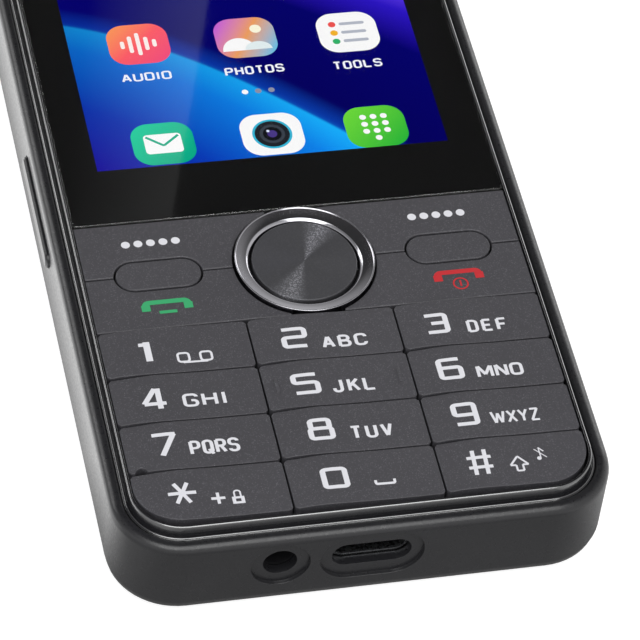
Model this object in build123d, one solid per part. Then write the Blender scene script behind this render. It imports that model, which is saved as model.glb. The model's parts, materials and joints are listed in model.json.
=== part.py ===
from build123d import *
import os
from math import atan2, cos, degrees, pi, radians, sin, tan

# Keypad mobile phone: a bar-shaped handset with a tall display over a keypad.
# Millimetres. +X is the phone's right side, +Y points to the display end and +Z
# out of its face. The origin is the middle of the back, on the surface it lies on.
# Lengths called "..._Y" are counted from the keypad end of the body, because the
# ports and keys are laid out from there; up() turns them into the part's own Y.

# Body
BODY_WIDTH = 57.8
BODY_LENGTH = 128.0
BODY_CORNER = 8.0
CREST_Z = 12.5
SHELL_TOP_Z = 11.2
SHELL_WALL = 1.6
SHELL_FLOOR = 1.3
SHOULDER_ROUND = 1.0
BACK_ROUND = 2.0
ROUND_FACETS = 3
HIDDEN_CORNER_SIDES = 3
SHELL_LIP_CHAMFER = 0.25
SEAM = 0.12

# Front frame: a dished bezel that stands up inside the shell's shoulder
FRAME_BOTTOM_Z = 9.5
FRAME_STEP_Z = 10.9
BEZEL_PROFILE = ((0.04, 0), (0.24, 0.06), (0.32, 0.24), (0.53, 1.49), (0.66, 1.6))
FLANGE_TOP_Z = 10.2
FLANGE_INSET = 4.2
CROSSBAR_WIDTH = 2.6
CROSSBAR_BOTTOM_Z = 9.95
GLASS_LEDGE_WIDTH = 1.35
FRAME_GAP = 0.08

# Glass and display
GLASS_EDGE_Y = 48.5
GLASS_TOP_Z = 12.4
GLASS_THICKNESS = 0.95
GLASS_CORNER = 0.5
GLASS_EDGE_CHAMFER = 0.15
ADHESIVE_THICKNESS = 0.1
DISPLAY_EDGE_Y = 57.76
DISPLAY_SIDE_MARGIN = 7.3
DISPLAY_UPPER_MARGIN = 12.64
DISPLAY_SIDE_BORDER = 3.0
DISPLAY_LOWER_BORDER = 5.5
DISPLAY_UPPER_BORDER = 2.4
DISPLAY_THICKNESS = 1.8
DISPLAY_AIR = 0.12
DISPLAY_TAPE = 0.15
DISPLAY_FRAME = 0.5
DISPLAY_PANEL_DEPTH = 0.1
FLEX_WIDTH = 14.0
FLEX_FOOT = 2.6
FLEX_THICKNESS = 0.1
FLEX_RISE = 0.8
EARPIECE_MARGIN = 7.4
EARPIECE_SLOT_LENGTH = 11.0
EARPIECE_SLOT_WIDTH = 1.2

# Keypad
KEY_TOP_Z = 12.38
KEY_UNDERSIDE_Z = 10.95
KEYPAD_MARGIN = 2.66
KEY_GAP = 0.2
KEYPAD_BOTTOM_Y = 3.15
NUMBERS_TOP_Y = 31.71
SOFT_SPLIT_Y = 40.07
ROW_PITCH = 7.08
MIDDLE_COLUMN_SHARE = 0.3327
KEY_CORNER = 0.35
KEY_EDGE_CHAMFER = 0.1
KEY_LIFT = 0.38
LOWER_EDGE_PROFILE = ((0, 0.3), (0.09, 0.88), (0.18, 1.0), (0.3, 0.9), (0.45, 0.5), (0.66, 0.2), (1, 0))
UPPER_EDGE_PROFILE = ((0, 0), (0.1, 0.34), (0.2, 0.76), (0.3, 0.98), (0.42, 0.74), (0.62, 0.3), (1, 0))
KEY_STEM_WIDTH = 2.0
KEY_TRAVEL = 0.28
STEM_MARGIN = 0.02
GUIDE_BAR_LENGTH = 2.1
GUIDE_BAR_WIDTH = 0.4
GUIDE_BAR_HEIGHT = 0.22
GUIDE_BAR_INSET = 1.5
MIC_NOTCH_RADIUS = 0.7
MIC_MARGIN = 4.15

# Navigation cluster
RING_OUTER_RADIUS = 8.3
RING_INNER_RADIUS = 6.5
RING_WELL_GAP = 0.25
RING_CREST_RISE = 0.42
RING_RIM_RISE = 0.12
RING_LAND = 0.28
RING_DISH = 0.16
OK_GAP = 0.25
PILL_LENGTH = 10.1
PILL_WIDTH = 4.35
PILL_MARGIN = 11.45
PILL_GAP = 0.24
KEY_TIP_LIMIT = 3.1
RING_UNDERSIDE_Z = 11.3
NAV_FOOT_WIDTH = 0.8
NAV_FOOT_CIRCLE = 7.05
ROCKER_RADIUS = 8.0
ROCKER_INNER_RADIUS = 6.75
ROCKER_THICKNESS = 0.35
ROCKER_RELIEF = 1.75

# Electronics sandwich
BOARD_TOP_Z = 9.37
BOARD_THICKNESS = 0.9
BOARD_INSET = 3.4
DOME_SHEET_THICKNESS = 0.1
DOME_RADII = (2.0, 1.3)
DIRECTION_DOME_RADII = (1.15, 0.7)
DOME_HEIGHT = 0.28
MAT_BOTTOM_Z = 10.0
MAT_THICKNESS = 0.55
MAT_INSET = 4.35
MAT_SKIRT = 0.4
MAT_HOLE_CLEARANCE = 0.25
MIC_SIZE = (3.0, 2.4, 1.1)

# Chassis behind the board
CHASSIS_CLEARANCE = 0.2
CHASSIS_WALL = 1.2
CHASSIS_BOTTOM_Z = 1.5
PLATE_BOTTOM_Z = 6.3
PLATE_THICKNESS = 0.8
BOARD_LEDGE = 1.0
BAY_WALL = 1.0
PORT_WINDOW_DEPTH = 16.5
PART_GAP = 0.15

# Battery
BATTERY_SIDE_MARGIN = 8.4
BATTERY_THICKNESS = 4.5
BATTERY_Y = 21.0
BATTERY_UPPER_MARGIN = 47.0
BATTERY_EDGE = 0.7
BATTERY_GAP = 0.25
CONTACT_PITCH = 3.0
CONTACT_WIDTH = 1.6
CONTACT_HEIGHT = 2.4
TERMINAL_THICKNESS = 0.08

# Ports in the keypad end
JACK_X = -10.54
JACK_BORE_RADIUS = 1.8
JACK_BORE_DEPTH = 11.0
JACK_BODY = (6.2, 12.0, 4.6)
JACK_NOSE_RADIUS = 2.3
JACK_NOSE_LENGTH = 1.6
JACK_LEAF = (0.25, 1.2)
JACK_HOLE_RADIUS = 1.95
JACK_RECESS_RADIUS = 3.4
USB_SHELL = (8.94, 7.2, 3.26)
USB_SHELL_WALL = 0.3
USB_TONGUE = (6.69, 4.45, 0.7)
USB_HOLE_GAP = 0.12
USB_RECESS = (12.0, 7.2)
PORT_RECESS_DEPTH = 0.45
PORT_SETBACK = 0.15

# Volume key in the left wall
VOLUME_Y = 56.3
VOLUME_LENGTH = 17.6
VOLUME_HEIGHT = 2.1
VOLUME_ABOVE_PORTS = 0.6
VOLUME_PROUD = 0.5
VOLUME_GAP = 0.15
VOLUME_FLANGE = 0.8
VOLUME_FLANGE_THICKNESS = 0.5
VOLUME_WALL_GAP = 0.2
VOLUME_SWITCH = (2.2, 3.4, 1.6)
VOLUME_PLUNGER = (0.6, 1.2)
VOLUME_SWITCH_SPREAD = 6.2

# Parts seen from the back
CAMERA_SIDE_MARGIN = 12.9
CAMERA_UPPER_MARGIN = 16.5
CAMERA_BODY = 8.5
CAMERA_CORNER = 0.6
CAMERA_LENS_RADIUS = 3.0
CAMERA_WINDOW_RADIUS = 3.9
CAMERA_APERTURE_RADIUS = 3.3
CAMERA_WINDOW_THICKNESS = 0.6
CAMERA_LIP = 0.15
CAMERA_BARREL_TOP_Z = 2.4
FLASH_OFFSET = 8.6
FLASH_RADIUS = 1.2
FLASH_LED = (2.4, 0.7)
SPEAKER_SIDE_MARGIN = 15.9
SPEAKER_BODY = (15.0, 11.0, 3.2)
SPEAKER_CORNER = 1.5
SPEAKER_RIM = (2.0, 1.2, 0.5)
SPEAKER_SLOTS = 5
SPEAKER_SLOT = (9.0, 0.9)
SPEAKER_SLOT_PITCH = 1.8
MESH_THICKNESS = 0.12
MESH_MARGIN = 1.0
SIM_SIZE = (14.4, 15.4, 1.4)
CARD_SIZE = (12.6, 14.2, 1.4)
SOCKET_ROW_ABOVE_BATTERY = 12.5
SOCKET_ROW_GAP = 1.2
WINDOW_MARGIN = 0.7
SHIELD_HEIGHT = 1.2
SHIELD_LARGE = (-11.0, 62.0, 20.0, 24.0)
SHIELD_SMALL = (12.0, 60.0, 16.0, 20.0)
RECEIVER_SIZE = (12.0, 5.0, 1.8)
RECEIVER_CORNER = 1.0
MOTOR_RADIUS = 2.0
MOTOR_LENGTH = 8.0
MOTOR_SIDE_MARGIN = 17.9
MOTOR_Y = 10.5
MOTOR_Z = 3.8
MOTOR_SHAFT_RADIUS = 0.4
MOTOR_SHAFT_DEPTH = 2.9
SHAFT_CLEARANCE = 0.04
CRADLE_INSET = 0.5
CRADLE_WALL = 0.6
WEIGHT_RADIUS = 2.2
WEIGHT_LENGTH = 3.4
ANTENNA_SIDE_MARGIN = 6.9
ANTENNA_WIDTH = 4.0
ANTENNA_THICKNESS = 0.2

# Screws that clamp the chassis and the board to the front frame
SCREW_HEAD_RADIUS = 1.25
SCREW_HEAD_HEIGHT = 0.9
SCREW_SLOT = (1.6, 0.4)
SCREW_RADIUS = 0.7
SCREW_BOSS_WIDTH = 3.0
SCREW_INSET = 5.5
SCREW_FIT = 0.03
SCREW_ENGAGEMENT = 2.2

# Levels and places that follow from the sizes above
KEYPAD_HALF_WIDTH = BODY_WIDTH / 2 - KEYPAD_MARGIN
COLUMN_HALF_WIDTH = KEYPAD_HALF_WIDTH * MIDDLE_COLUMN_SHARE
PILL_X = BODY_WIDTH / 2 - PILL_MARGIN
MIC_X = -BODY_WIDTH / 2 + MIC_MARGIN
DISPLAY_WIDTH = BODY_WIDTH - 2 * DISPLAY_SIDE_MARGIN
DISPLAY_HEIGHT = BODY_LENGTH - DISPLAY_EDGE_Y - DISPLAY_UPPER_MARGIN
EARPIECE_Y = BODY_LENGTH - EARPIECE_MARGIN
BATTERY_WIDTH = BODY_WIDTH - 2 * BATTERY_SIDE_MARGIN
BATTERY_LENGTH = BODY_LENGTH - BATTERY_Y - BATTERY_UPPER_MARGIN
CAMERA_X = -BODY_WIDTH / 2 + CAMERA_SIDE_MARGIN
CAMERA_Y = BODY_LENGTH - CAMERA_UPPER_MARGIN
SPEAKER_X = BODY_WIDTH / 2 - SPEAKER_SIDE_MARGIN
MOTOR_X = BODY_WIDTH / 2 - MOTOR_SIDE_MARGIN
SOCKET_ROW_Y = BATTERY_Y + BATTERY_LENGTH + SOCKET_ROW_ABOVE_BATTERY
ANTENNA_LENGTH = BODY_WIDTH - 2 * ANTENNA_SIDE_MARGIN
FRAME_INSET = SHELL_WALL + SEAM
CAVITY_INSET = BODY_WIDTH / 2 - KEYPAD_HALF_WIDTH - 0.5 * SEAM
KEY_EDGE_INSET = BODY_WIDTH / 2 - KEYPAD_HALF_WIDTH + 0.5 * KEY_GAP
GLASS_INSET = CAVITY_INSET + FRAME_GAP
CHASSIS_INSET = SHELL_WALL + CHASSIS_CLEARANCE
BOARD_BOTTOM_Z = BOARD_TOP_Z - BOARD_THICKNESS
PLATE_TOP_Z = PLATE_BOTTOM_Z + PLATE_THICKNESS
PORT_Z = BOARD_BOTTOM_Z - USB_SHELL[2] / 2
DOME_SHEET_TOP_Z = BOARD_TOP_Z + DOME_SHEET_THICKNESS
DOME_TOP_Z = DOME_SHEET_TOP_Z + DOME_HEIGHT
STEM_BOTTOM_Z = DOME_TOP_Z + KEY_TRAVEL + STEM_MARGIN
MAT_TOP_Z = MAT_BOTTOM_Z + MAT_THICKNESS
GLASS_BOTTOM_Z = GLASS_TOP_Z - GLASS_THICKNESS
LEDGE_TOP_Z = GLASS_BOTTOM_Z - ADHESIVE_THICKNESS
DISPLAY_TOP_Z = GLASS_BOTTOM_Z - DISPLAY_AIR
PORT_FACE_Y = SHELL_WALL + PORT_SETBACK
COLUMN_EDGES = (-KEYPAD_HALF_WIDTH, -COLUMN_HALF_WIDTH, COLUMN_HALF_WIDTH, KEYPAD_HALF_WIDTH)
ROW_EDGES = tuple(NUMBERS_TOP_Y - ROW_PITCH * row for row in range(4)) + (KEYPAD_BOTTOM_Y,)
OK_RADIUS = RING_INNER_RADIUS - OK_GAP
BATTERY_TOP_Z = PLATE_BOTTOM_Z - 0.1
BATTERY_BOTTOM_Z = BATTERY_TOP_Z - BATTERY_THICKNESS


def up(y):
    """Part Y of a place counted from the keypad end of the body."""
    return y - BODY_LENGTH / 2


def rounded_section(inset, z):
    """Body outline moved inwards by an inset, as a flat section at a height."""
    size = (BODY_WIDTH - 2 * inset, BODY_LENGTH - 2 * inset, BODY_CORNER - inset)
    return Pos(0, 0, z) * RectangleRounded(*size)


def outline(inset, z0, z1):
    """Body outline moved inwards by an inset, as a slab from z0 to z1."""
    return extrude(rounded_section(inset, z0), z1 - z0)


def inner_outline(inset, z0, z1):
    """Slab like outline()'s whose corners, hidden inside the body, have a few flat sides."""
    reach = BODY_CORNER - inset
    corners = []
    for quarter, (side_x, side_y) in enumerate(((1, 1), (-1, 1), (-1, -1), (1, -1))):
        for step in range(HIDDEN_CORNER_SIDES + 1):
            angle = pi / 2 * (quarter + step / HIDDEN_CORNER_SIDES)
            x = side_x * (BODY_WIDTH / 2 - BODY_CORNER) + reach * cos(angle)
            y = side_y * (BODY_LENGTH / 2 - BODY_CORNER) + reach * sin(angle)
            corners.append((x, y))
    return Pos(0, 0, z0) * extrude(make_face(Polyline(*corners, close=True)), z1 - z0)


def stepped_outline(levels):
    """Body outline through levels of inset and height, with a sloping band between each two."""
    solid = None
    for (inset0, z0), (inset1, z1) in zip(levels, levels[1:]):
        draft = degrees(atan2(abs(inset1 - inset0), z1 - z0))
        if inset0 < inset1:
            band = extrude(rounded_section(inset0, z0), z1 - z0, taper=draft)
        else:
            band = extrude(rounded_section(inset1, z1), z0 - z1, taper=draft)
        solid = band if solid is None else solid + band
    return solid


def quarter_round(radius):
    """Inset and rise of a quarter round's facet edges, from its flat end to its upright end."""
    angles = [pi / 2 * step / ROUND_FACETS for step in range(ROUND_FACETS + 1)]
    return [(radius * (1 - sin(angle)), radius * (1 - cos(angle))) for angle in angles]


def block(x0, x1, y0, y1, z0, z1):
    """Box between limits, with y counted from the keypad end."""
    return Pos((x0 + x1) / 2, up((y0 + y1) / 2), (z0 + z1) / 2) * Box(x1 - x0, y1 - y0, z1 - z0)


def centred_block(x, y, width, length, z0, z1):
    """Box of a width and length about a place on the face."""
    return block(x - width / 2, x + width / 2, y - length / 2, y + length / 2, z0, z1)


def disc(x, y, radius, z0, z1):
    """Upright cylinder about a place on the face."""
    return Pos(x, up(y), (z0 + z1) / 2) * Cylinder(radius, z1 - z0)


def along_y(x, z, sketch, y0, y1):
    """Sketch seen from the keypad end, extruded from y0 to y1."""
    plane = Plane(origin=(x, up(y0), z), x_dir=(1, 0, 0), z_dir=(0, -1, 0))
    return extrude(plane * sketch, -(y1 - y0))


def stadium(length, width):
    """Slot-shaped sketch of an overall length and width."""
    return SlotOverall(length, width)


def upright_edges(part, x_limit=None):
    """Vertical edges of a part, all of them or those within a distance of the middle."""
    edges = part.edges().filter_by(Axis.Z)
    if x_limit is None:
        return edges
    return edges.filter_by(lambda edge: abs(edge.center().X) < x_limit)


def screw_places():
    """Four screws, one in each corner."""
    side = BODY_WIDTH / 2 - SCREW_INSET
    return [(x, y) for y in (SCREW_INSET, BODY_LENGTH - SCREW_INSET) for x in (-side, side)]


def socket_places():
    """Centres of the two SIM sockets and the memory card socket."""
    row_width = 2 * SIM_SIZE[0] + CARD_SIZE[0] + 2 * SOCKET_ROW_GAP
    first = -row_width / 2 + SIM_SIZE[0] / 2
    second = first + SIM_SIZE[0] + SOCKET_ROW_GAP
    card = second + (SIM_SIZE[0] + CARD_SIZE[0]) / 2 + SOCKET_ROW_GAP
    return first, second, card


# Shell: the removable back with the side walls


def make_rear_cover():
    """One moulding: back, side walls, soft shoulder and every opening in them."""
    shoulder = [(inset, SHELL_TOP_Z - rise) for inset, rise in quarter_round(SHOULDER_ROUND)]
    cover = stepped_outline(quarter_round(BACK_ROUND) + shoulder[::-1])
    cover -= outline(SHELL_WALL, SHELL_FLOOR, SHELL_TOP_Z)
    lip = cover.faces().sort_by(Axis.Z)[-1].inner_wires()[0].edges()
    cover = chamfer(lip, SHELL_LIP_CHAMFER)

    jack_recess = Circle(JACK_RECESS_RADIUS)
    usb_recess = stadium(*USB_RECESS)
    cover -= along_y(JACK_X, PORT_Z, jack_recess, 0, PORT_RECESS_DEPTH)
    cover -= along_y(0, PORT_Z, usb_recess, 0, PORT_RECESS_DEPTH)
    usb_hole = stadium(USB_SHELL[0] + 2 * USB_HOLE_GAP, USB_SHELL[2] + 2 * USB_HOLE_GAP)
    cover -= along_y(JACK_X, PORT_Z, Circle(JACK_HOLE_RADIUS), 0, SHELL_WALL)
    cover -= along_y(0, PORT_Z, usb_hole, 0, SHELL_WALL)

    slot_length = VOLUME_LENGTH + 2 * VOLUME_GAP
    slot_height = VOLUME_HEIGHT + 2 * VOLUME_GAP
    cover -= volume_shape(slot_length, slot_height, 0, SHELL_WALL)

    cover -= disc(CAMERA_X, CAMERA_Y, CAMERA_APERTURE_RADIUS, 0, SHELL_FLOOR)
    cover -= disc(CAMERA_X, CAMERA_Y, CAMERA_WINDOW_RADIUS, CAMERA_LIP, SHELL_FLOOR)
    cover -= disc(CAMERA_X + FLASH_OFFSET, CAMERA_Y, FLASH_RADIUS + SEAM, 0, SHELL_FLOOR)
    for index in range(SPEAKER_SLOTS):
        slot_y = CAMERA_Y + (index - (SPEAKER_SLOTS - 1) / 2) * SPEAKER_SLOT_PITCH
        cover -= centred_block(SPEAKER_X, slot_y, *SPEAKER_SLOT, 0, SHELL_FLOOR)
    return cover


def volume_shape(length, height, depth0, depth1):
    """Stadium in the left wall, between two depths from the wall's outer face."""
    centre = (depth0 - BODY_WIDTH / 2, up(VOLUME_Y), PORT_Z + VOLUME_ABOVE_PORTS)
    plane = Plane(origin=centre, x_dir=(0, 1, 0), z_dir=(1, 0, 0))
    return extrude(plane * stadium(length, height), depth1 - depth0)


def make_volume_key():
    """Rocker cap through the wall, with a flange behind it that keeps it in."""
    flange_start = SHELL_WALL + VOLUME_WALL_GAP
    cap = volume_shape(VOLUME_LENGTH, VOLUME_HEIGHT, -VOLUME_PROUD, flange_start)
    outer = cap.faces().sort_by(Axis.X)[0].edges()
    cap = chamfer(outer, 0.5 * VOLUME_PROUD)
    length = VOLUME_LENGTH + 2 * VOLUME_FLANGE
    height = VOLUME_HEIGHT + 2 * VOLUME_FLANGE
    x0 = flange_start - BODY_WIDTH / 2
    z0 = PORT_Z + VOLUME_ABOVE_PORTS - height / 2
    flange = block(
        x0, x0 + VOLUME_FLANGE_THICKNESS, VOLUME_Y - length / 2, VOLUME_Y + length / 2, z0, z0 + height
    )
    return cap + flange


def make_camera_window():
    """Clear disc that sits on the cover's lip under the camera."""
    radius = CAMERA_WINDOW_RADIUS - FRAME_GAP
    return disc(CAMERA_X, CAMERA_Y, radius, CAMERA_LIP, CAMERA_LIP + CAMERA_WINDOW_THICKNESS)


def make_speaker_mesh():
    """Cloth stuck inside the cover over the speaker slots."""
    width = SPEAKER_SLOT[0] + 2 * MESH_MARGIN
    height = SPEAKER_SLOTS * SPEAKER_SLOT_PITCH + MESH_MARGIN
    return centred_block(SPEAKER_X, CAMERA_Y, width, height, SHELL_FLOOR, SHELL_FLOOR + MESH_THICKNESS)


# Front frame and glass


def make_front_frame():
    """Dished bezel, glass ledge, crossbar, keypad flange and screw bosses."""
    foot = outline(FRAME_INSET, FRAME_BOTTOM_Z, FRAME_STEP_Z)
    frame = foot + stepped_outline([(FRAME_INSET + run, FRAME_STEP_Z + rise) for run, rise in BEZEL_PROFILE])
    frame -= outline(CAVITY_INSET, FLANGE_TOP_Z, CREST_Z)
    frame -= inner_outline(FLANGE_INSET, FRAME_BOTTOM_Z, FLANGE_TOP_Z)

    crossbar_top = GLASS_EDGE_Y + CROSSBAR_WIDTH
    half = BODY_WIDTH / 2 - CAVITY_INSET
    ledge = outline(CAVITY_INSET, FRAME_BOTTOM_Z, LEDGE_TOP_Z) & block(
        -half, half, GLASS_EDGE_Y, BODY_LENGTH, FRAME_BOTTOM_Z, LEDGE_TOP_Z
    )
    ledge -= display_opening(FRAME_BOTTOM_Z, LEDGE_TOP_Z)
    opening_half = half - GLASS_LEDGE_WIDTH
    ledge -= block(-opening_half, opening_half, 0, crossbar_top, FRAME_BOTTOM_Z, CROSSBAR_BOTTOM_Z)
    frame += ledge

    for x, y in screw_places():
        frame += centred_block(x, y, SCREW_BOSS_WIDTH, SCREW_BOSS_WIDTH, PLATE_TOP_Z, FLANGE_TOP_Z)
        frame += boss_web(x, y)
    for x, y in screw_places():
        frame -= disc(x, y, SCREW_RADIUS + SCREW_FIT, PLATE_TOP_Z, PLATE_TOP_Z + SCREW_ENGAGEMENT)
    return frame


def display_opening(z0, z1):
    """Opening of the glass ledge, above the crossbar."""
    half = BODY_WIDTH / 2
    return inner_outline(CAVITY_INSET + GLASS_LEDGE_WIDTH, z0, z1) & block(
        -half, half, GLASS_EDGE_Y + CROSSBAR_WIDTH, BODY_LENGTH, z0, z1
    )


def to_side_wall(x, y, half_width, z0, z1):
    """Block from a boss's inner face out to the nearer side wall."""
    side = 1 if x > 0 else -1
    x0, x1 = sorted((x - side * half_width, side * BODY_WIDTH / 2))
    return block(x0, x1, y - half_width, y + half_width, z0, z1)


def boss_web(x, y):
    """Pad that joins a boss to the frame's wall."""
    wall = inner_outline(FRAME_INSET, FRAME_BOTTOM_Z, FLANGE_TOP_Z)
    return wall & to_side_wall(x, y, SCREW_BOSS_WIDTH / 2, FRAME_BOTTOM_Z, FLANGE_TOP_Z)


def boss_clearance(x, y, z0, z1):
    """Room for a boss and its pad, open towards the side wall."""
    return to_side_wall(x, y, SCREW_BOSS_WIDTH / 2 + PART_GAP, z0, z1)


def glass_outline(inset, z0, z1, margin):
    """Body outline above the keypad, cut straight at the glass's lower edge."""
    half = BODY_WIDTH / 2
    return outline(inset, z0, z1) & block(-half, half, GLASS_EDGE_Y + margin, BODY_LENGTH, z0, z1)


def make_touch_glass():
    """Cover glass with the earpiece slot."""
    glass = glass_outline(GLASS_INSET, GLASS_BOTTOM_Z, GLASS_TOP_Z, 0.5 * KEY_GAP)
    lower = glass.edges().filter_by(Axis.Z).sort_by(Axis.Y)[:2]
    glass = fillet(lower, GLASS_CORNER)
    glass = chamfer(glass.faces().sort_by(Axis.Z)[-1].edges(), GLASS_EDGE_CHAMFER)
    slot = Pos(0, up(EARPIECE_Y), GLASS_BOTTOM_Z) * extrude(
        stadium(EARPIECE_SLOT_LENGTH, EARPIECE_SLOT_WIDTH), GLASS_THICKNESS
    )
    return glass - slot


def make_glass_adhesive():
    """Die-cut tape between the ledge and the glass."""
    tape = glass_outline(GLASS_INSET + PART_GAP, LEDGE_TOP_Z, GLASS_BOTTOM_Z, PART_GAP)
    return tape - display_opening(LEDGE_TOP_Z, GLASS_BOTTOM_Z)


def display_limits():
    """Outline of the display module: x0, x1, y0, y1."""
    half = DISPLAY_WIDTH / 2 + DISPLAY_SIDE_BORDER
    lower = DISPLAY_EDGE_Y - DISPLAY_LOWER_BORDER
    return -half, half, lower, DISPLAY_EDGE_Y + DISPLAY_HEIGHT + DISPLAY_UPPER_BORDER


def make_display_module():
    """Liquid crystal module: backlight tray with the panel set into it."""
    x0, x1, y0, y1 = display_limits()
    bottom = DISPLAY_TOP_Z - DISPLAY_THICKNESS
    module = block(x0, x1, y0, y1, bottom, DISPLAY_TOP_Z)
    rim = DISPLAY_FRAME
    active = block(
        -DISPLAY_WIDTH / 2 - rim,
        DISPLAY_WIDTH / 2 + rim,
        DISPLAY_EDGE_Y - rim,
        DISPLAY_EDGE_Y + DISPLAY_HEIGHT + rim,
        DISPLAY_TOP_Z - DISPLAY_PANEL_DEPTH,
        DISPLAY_TOP_Z,
    )
    return module - active


def make_display_flex():
    """Flat cable from the display's lower end to the board."""
    _, _, edge, _ = display_limits()
    half = FLEX_WIDTH / 2
    foot = block(-half, half, edge - FLEX_FOOT, edge, BOARD_TOP_Z, BOARD_TOP_Z + FLEX_THICKNESS)
    rise = block(-half, half, edge - FLEX_THICKNESS, edge, BOARD_TOP_Z, BOARD_TOP_Z + FLEX_RISE)
    return foot + rise


def make_earpiece_receiver():
    """Rectangular receiver capsule under the slot, with cut corners."""
    width, length, height = RECEIVER_SIZE
    top = GLASS_BOTTOM_Z - DISPLAY_TAPE
    capsule = centred_block(0, EARPIECE_Y, width, length, top - height, top)
    return chamfer(upright_edges(capsule), RECEIVER_CORNER)


def make_earpiece_mesh():
    """Woven grille let into the glass slot."""
    depth = 0.3
    gap = 0.05
    sketch = stadium(EARPIECE_SLOT_LENGTH - 2 * gap, EARPIECE_SLOT_WIDTH - 2 * gap)
    return Pos(0, up(EARPIECE_Y), GLASS_BOTTOM_Z) * extrude(sketch, GLASS_THICKNESS - depth)


# Keys


def key_plan(x0, x1, y0, y1):
    """Footprint of a key between gap lines, following the keypad's round corners."""
    half_gap = KEY_GAP / 2
    x0, x1, y0, y1 = x0 + half_gap, x1 - half_gap, y0 + half_gap, y1 - half_gap
    plan = block(x0, x1, y0, y1, KEY_UNDERSIDE_Z, KEY_TOP_Z + KEY_LIFT)
    corner = BODY_CORNER - KEY_EDGE_INSET
    field = Pos(0, up(KEYPAD_BOTTOM_Y) + BODY_LENGTH / 2, KEY_UNDERSIDE_Z) * extrude(
        RectangleRounded(2 * (KEYPAD_HALF_WIDTH - half_gap), BODY_LENGTH - 2 * half_gap, corner),
        KEY_TOP_Z + KEY_LIFT - KEY_UNDERSIDE_Z,
    )
    return plan & field


def sculpt(x0, x1, y0, y1):
    """Solid under a number key's top, whose ridge runs from the upper edge down to the left."""
    base = KEY_UNDERSIDE_Z
    width = x1 - x0

    def section(y, profile):
        plane = Plane(origin=(x0, up(y), 0), x_dir=(1, 0, 0), z_dir=(0, -1, 0))
        points = [(share * width, KEY_TOP_Z + rise * KEY_LIFT) for share, rise in profile]
        return plane * make_face(Polyline(*points, (width, base), (0, base), close=True))

    return loft([section(y0, LOWER_EDGE_PROFILE), section(y1, UPPER_EDGE_PROFILE)], ruled=True)


def sculpted_z(share, height_share):
    """Height of a number key's top at a share of its width and of its depth."""
    rises = []
    for profile in (LOWER_EDGE_PROFILE, UPPER_EDGE_PROFILE):
        for (left, left_rise), (right, right_rise) in zip(profile, profile[1:]):
            if left <= share <= right:
                rises.append(left_rise + (right_rise - left_rise) * (share - left) / (right - left))
                break
    return KEY_TOP_Z + KEY_LIFT * (rises[0] + (rises[1] - rises[0]) * height_share)


def add_stem(key, x, y):
    """Key with the post that presses its dome."""
    return key + centred_block(x, y, KEY_STEM_WIDTH, KEY_STEM_WIDTH, STEM_BOTTOM_Z, KEY_UNDERSIDE_Z)


def number_key(column, row):
    """One of the twelve number keys, counted from the upper left."""
    x0, x1 = COLUMN_EDGES[column], COLUMN_EDGES[column + 1]
    y0, y1 = ROW_EDGES[row + 1], ROW_EDGES[row]
    key = key_plan(x0, x1, y0, y1)
    sharp = upright_edges(key)
    key = chamfer(sharp, KEY_CORNER)
    half_gap = KEY_GAP / 2
    key = key & sculpt(x0 + half_gap, x1 - half_gap, y0 + half_gap, y1 - half_gap)
    return add_stem(key, *number_key_centre(column, row))


def number_key_centre(column, row):
    """Place of a number key's dome."""
    return (
        (COLUMN_EDGES[column] + COLUMN_EDGES[column + 1]) / 2,
        (ROW_EDGES[row] + ROW_EDGES[row + 1]) / 2,
    )


def make_number_keys():
    """The twelve keys by node name."""
    names = ("1", "2", "3", "4", "5", "6", "7", "8", "9", "star", "0", "hash")
    keys = {}
    for index, name in enumerate(names):
        keys["key_" + name] = number_key(index % 3, index // 3)
    for side in (-1, 1):
        x = side * (COLUMN_HALF_WIDTH - GUIDE_BAR_INSET)
        y = (ROW_EDGES[1] + ROW_EDGES[2]) / 2
        top = sculpted_z((x + COLUMN_HALF_WIDTH) / (2 * COLUMN_HALF_WIDTH), 0.5) + GUIDE_BAR_HEIGHT
        keys["key_5"] += centred_block(x, y, GUIDE_BAR_WIDTH, GUIDE_BAR_LENGTH, KEY_UNDERSIDE_Z, top)
    notch = disc(MIC_X, ROW_EDGES[3], MIC_NOTCH_RADIUS, KEY_UNDERSIDE_Z, CREST_Z + KEY_LIFT)
    keys["key_7"] -= notch
    return keys


def function_key(side, y0, y1, stem):
    """Key beside the ring, cut round the ring's well and the pill key."""
    x0, x1 = sorted((side * KEY_TIP_LIMIT, side * KEYPAD_HALF_WIDTH))
    key = key_plan(x0, x1, y0, y1)
    key -= disc(0, SOFT_SPLIT_Y, RING_OUTER_RADIUS + RING_WELL_GAP, KEY_UNDERSIDE_Z, CREST_Z + KEY_LIFT)
    key -= pill_body(side, PILL_GAP, KEY_UNDERSIDE_Z, CREST_Z + KEY_LIFT)
    key -= block(-BODY_WIDTH, BODY_WIDTH, 0, BODY_LENGTH, KEY_TOP_Z, CREST_Z + 2 * KEY_LIFT)
    top = key.faces().sort_by(Axis.Z)[-1]
    key = chamfer(top.outer_wire().edges(), KEY_EDGE_CHAMFER)
    return add_stem(key, *stem)


def pill_body(side, grow, z0, z1):
    """Stadium of a pill key, grown by a clearance."""
    sketch = stadium(PILL_LENGTH + 2 * grow, PILL_WIDTH + 2 * grow)
    return Pos(side * PILL_X, up(SOFT_SPLIT_Y), z0) * extrude(sketch, z1 - z0)


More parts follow.
